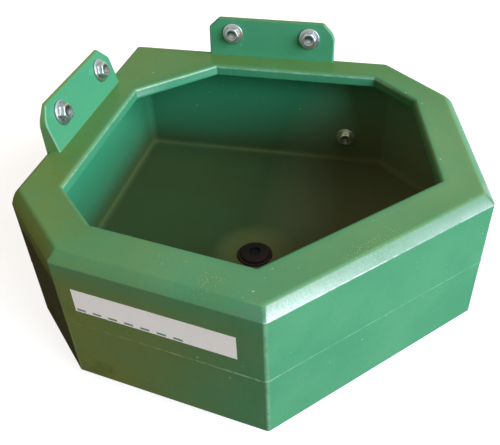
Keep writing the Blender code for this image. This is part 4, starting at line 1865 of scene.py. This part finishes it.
@dataclass
class Studio:
    """A plain pale floor, a white background, soft lamps and the photograph's camera."""

    floor_level: float = -0.0222
    floor_size: float = 9.0
    ambient: Colour = (0.28, 0.21, 0.145, 1.0)
    white: Colour = (1.0, 1.0, 1.0, 1.0)
    pale: Colour = (0.46, 0.48, 0.50, 1.0)
    bounce: Colour = (0.20, 0.15, 0.10, 1.0)
    floor_lift: float = 0.82
    camera_place: tuple[float, float, float] = (0.3698, -0.8385, 0.5569)
    azimuth: float = 10.565
    elevation: float = 38.472
    roll: float = -0.444
    focal_pixels: float = 645.47
    centre_pixels: Pair = (282.31, 214.38)
    lamps: tuple[Lamp, ...] = (
        Lamp("window", 68.0, 28.0, 4.0, 3.4, 3.0, (0.86, 0.92, 1.0), 318.0),
        Lamp("room", -140.0, 17.0, 4.0, 2.6, 1.4, (1.0, 0.66, 0.26), 15.0),
    )

    def floor(self) -> None:
        """The floor, white to the camera and in reflections, with the shadow kept."""
        deselect_all()
        bpy.ops.mesh.primitive_plane_add(size=self.floor_size, location=(*BOWL_MIDDLE, self.floor_level))
        item = bpy.context.active_object
        item.name = "floor"
        material = bpy.data.materials.new("pale_floor")
        material.use_nodes = True
        nodes, seen = self.cleared(material.node_tree)
        matt = nodes.add("ShaderNodeBsdfDiffuse", {"Color": nodes.mix(seen, self.bounce, self.pale)})
        lift = nodes.add("ShaderNodeEmission", {"Strength": nodes.sum("MULTIPLY", seen, self.floor_lift)})
        both = nodes.add("ShaderNodeAddShader", {0: matt.outputs[0], 1: lift.outputs[0]})
        nodes.add("ShaderNodeOutputMaterial", {"Surface": both.outputs[0]})
        item.data.materials.append(material)

    def world(self) -> None:
        """White behind the bowl, and dim warm light from all round on it."""
        world = bpy.data.worlds.new("studio")
        bpy.context.scene.world = world
        world.use_nodes = True
        nodes, seen = self.cleared(world.node_tree)
        shade = nodes.add("ShaderNodeBackground", {"Color": nodes.mix(seen, self.ambient, self.white)})
        nodes.add("ShaderNodeOutputWorld", {"Surface": shade.outputs[0]})

    @staticmethod
    def cleared(tree: bpy.types.NodeTree) -> tuple[Nodes, Socket]:
        """Clear a tree, and start it again with what tells the camera's view from the bowl's light.

        Args:
            tree: The tree.

        Returns:
            The tree, and 1 for what the camera sees, also in a reflection or through glass, and 0 for
            light on the bowl.
        """
        tree.nodes.clear()
        nodes = Nodes(tree)
        path = nodes.add("ShaderNodeLightPath").outputs
        seen = path["Is Camera Ray"]
        for name in ("Is Glossy Ray", "Is Transmission Ray"):
            seen = nodes.sum("MAXIMUM", seen, path[name])
        return nodes, seen

    def camera(self) -> None:
        """The camera of the photograph."""
        data = bpy.data.cameras.new("camera")
        data.sensor_width = 36.0
        data.lens = self.focal_pixels * data.sensor_width / PHOTO_WIDTH
        data.shift_x = (PHOTO_WIDTH / 2.0 - self.centre_pixels[0]) / PHOTO_WIDTH
        data.shift_y = (self.centre_pixels[1] - PHOTO_HEIGHT / 2.0) / PHOTO_WIDTH
        back = direction(self.azimuth, self.elevation)
        bpy.context.scene.camera = stand(data, Vector(self.camera_place), back, self.roll)

    def build(self) -> None:
        """Set up all of it."""
        self.camera()
        self.floor()
        self.world()
        for lamp in self.lamps:
            lamp.build()
        bpy.context.scene.view_settings.view_transform = "Standard"


def main() -> None:
    """Build every piece in order."""
    logging.basicConfig(level=logging.INFO, format="%(name)s: %(message)s")
    for item in list(bpy.data.objects):
        bpy.data.objects.remove(item, do_unlink=True)
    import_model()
    Studio().build()
    green = MouldedGreen().make()
    bowl = Moulding().build()
    bowl.finish(green, "bowl", "manger_body", "body")
    label = Label()
    label.build(bowl).finish(LabelPaper().make(label), "bowl", None, None)
    Fixings().build(ZincPlate().make())
    Drain().build(BlackPlastic("black_plastic_dusty", 0.42).make(),
                  BlackPlastic("black_rubber_dusty", 0.58).make())


if __name__ == "__main__":
    main()
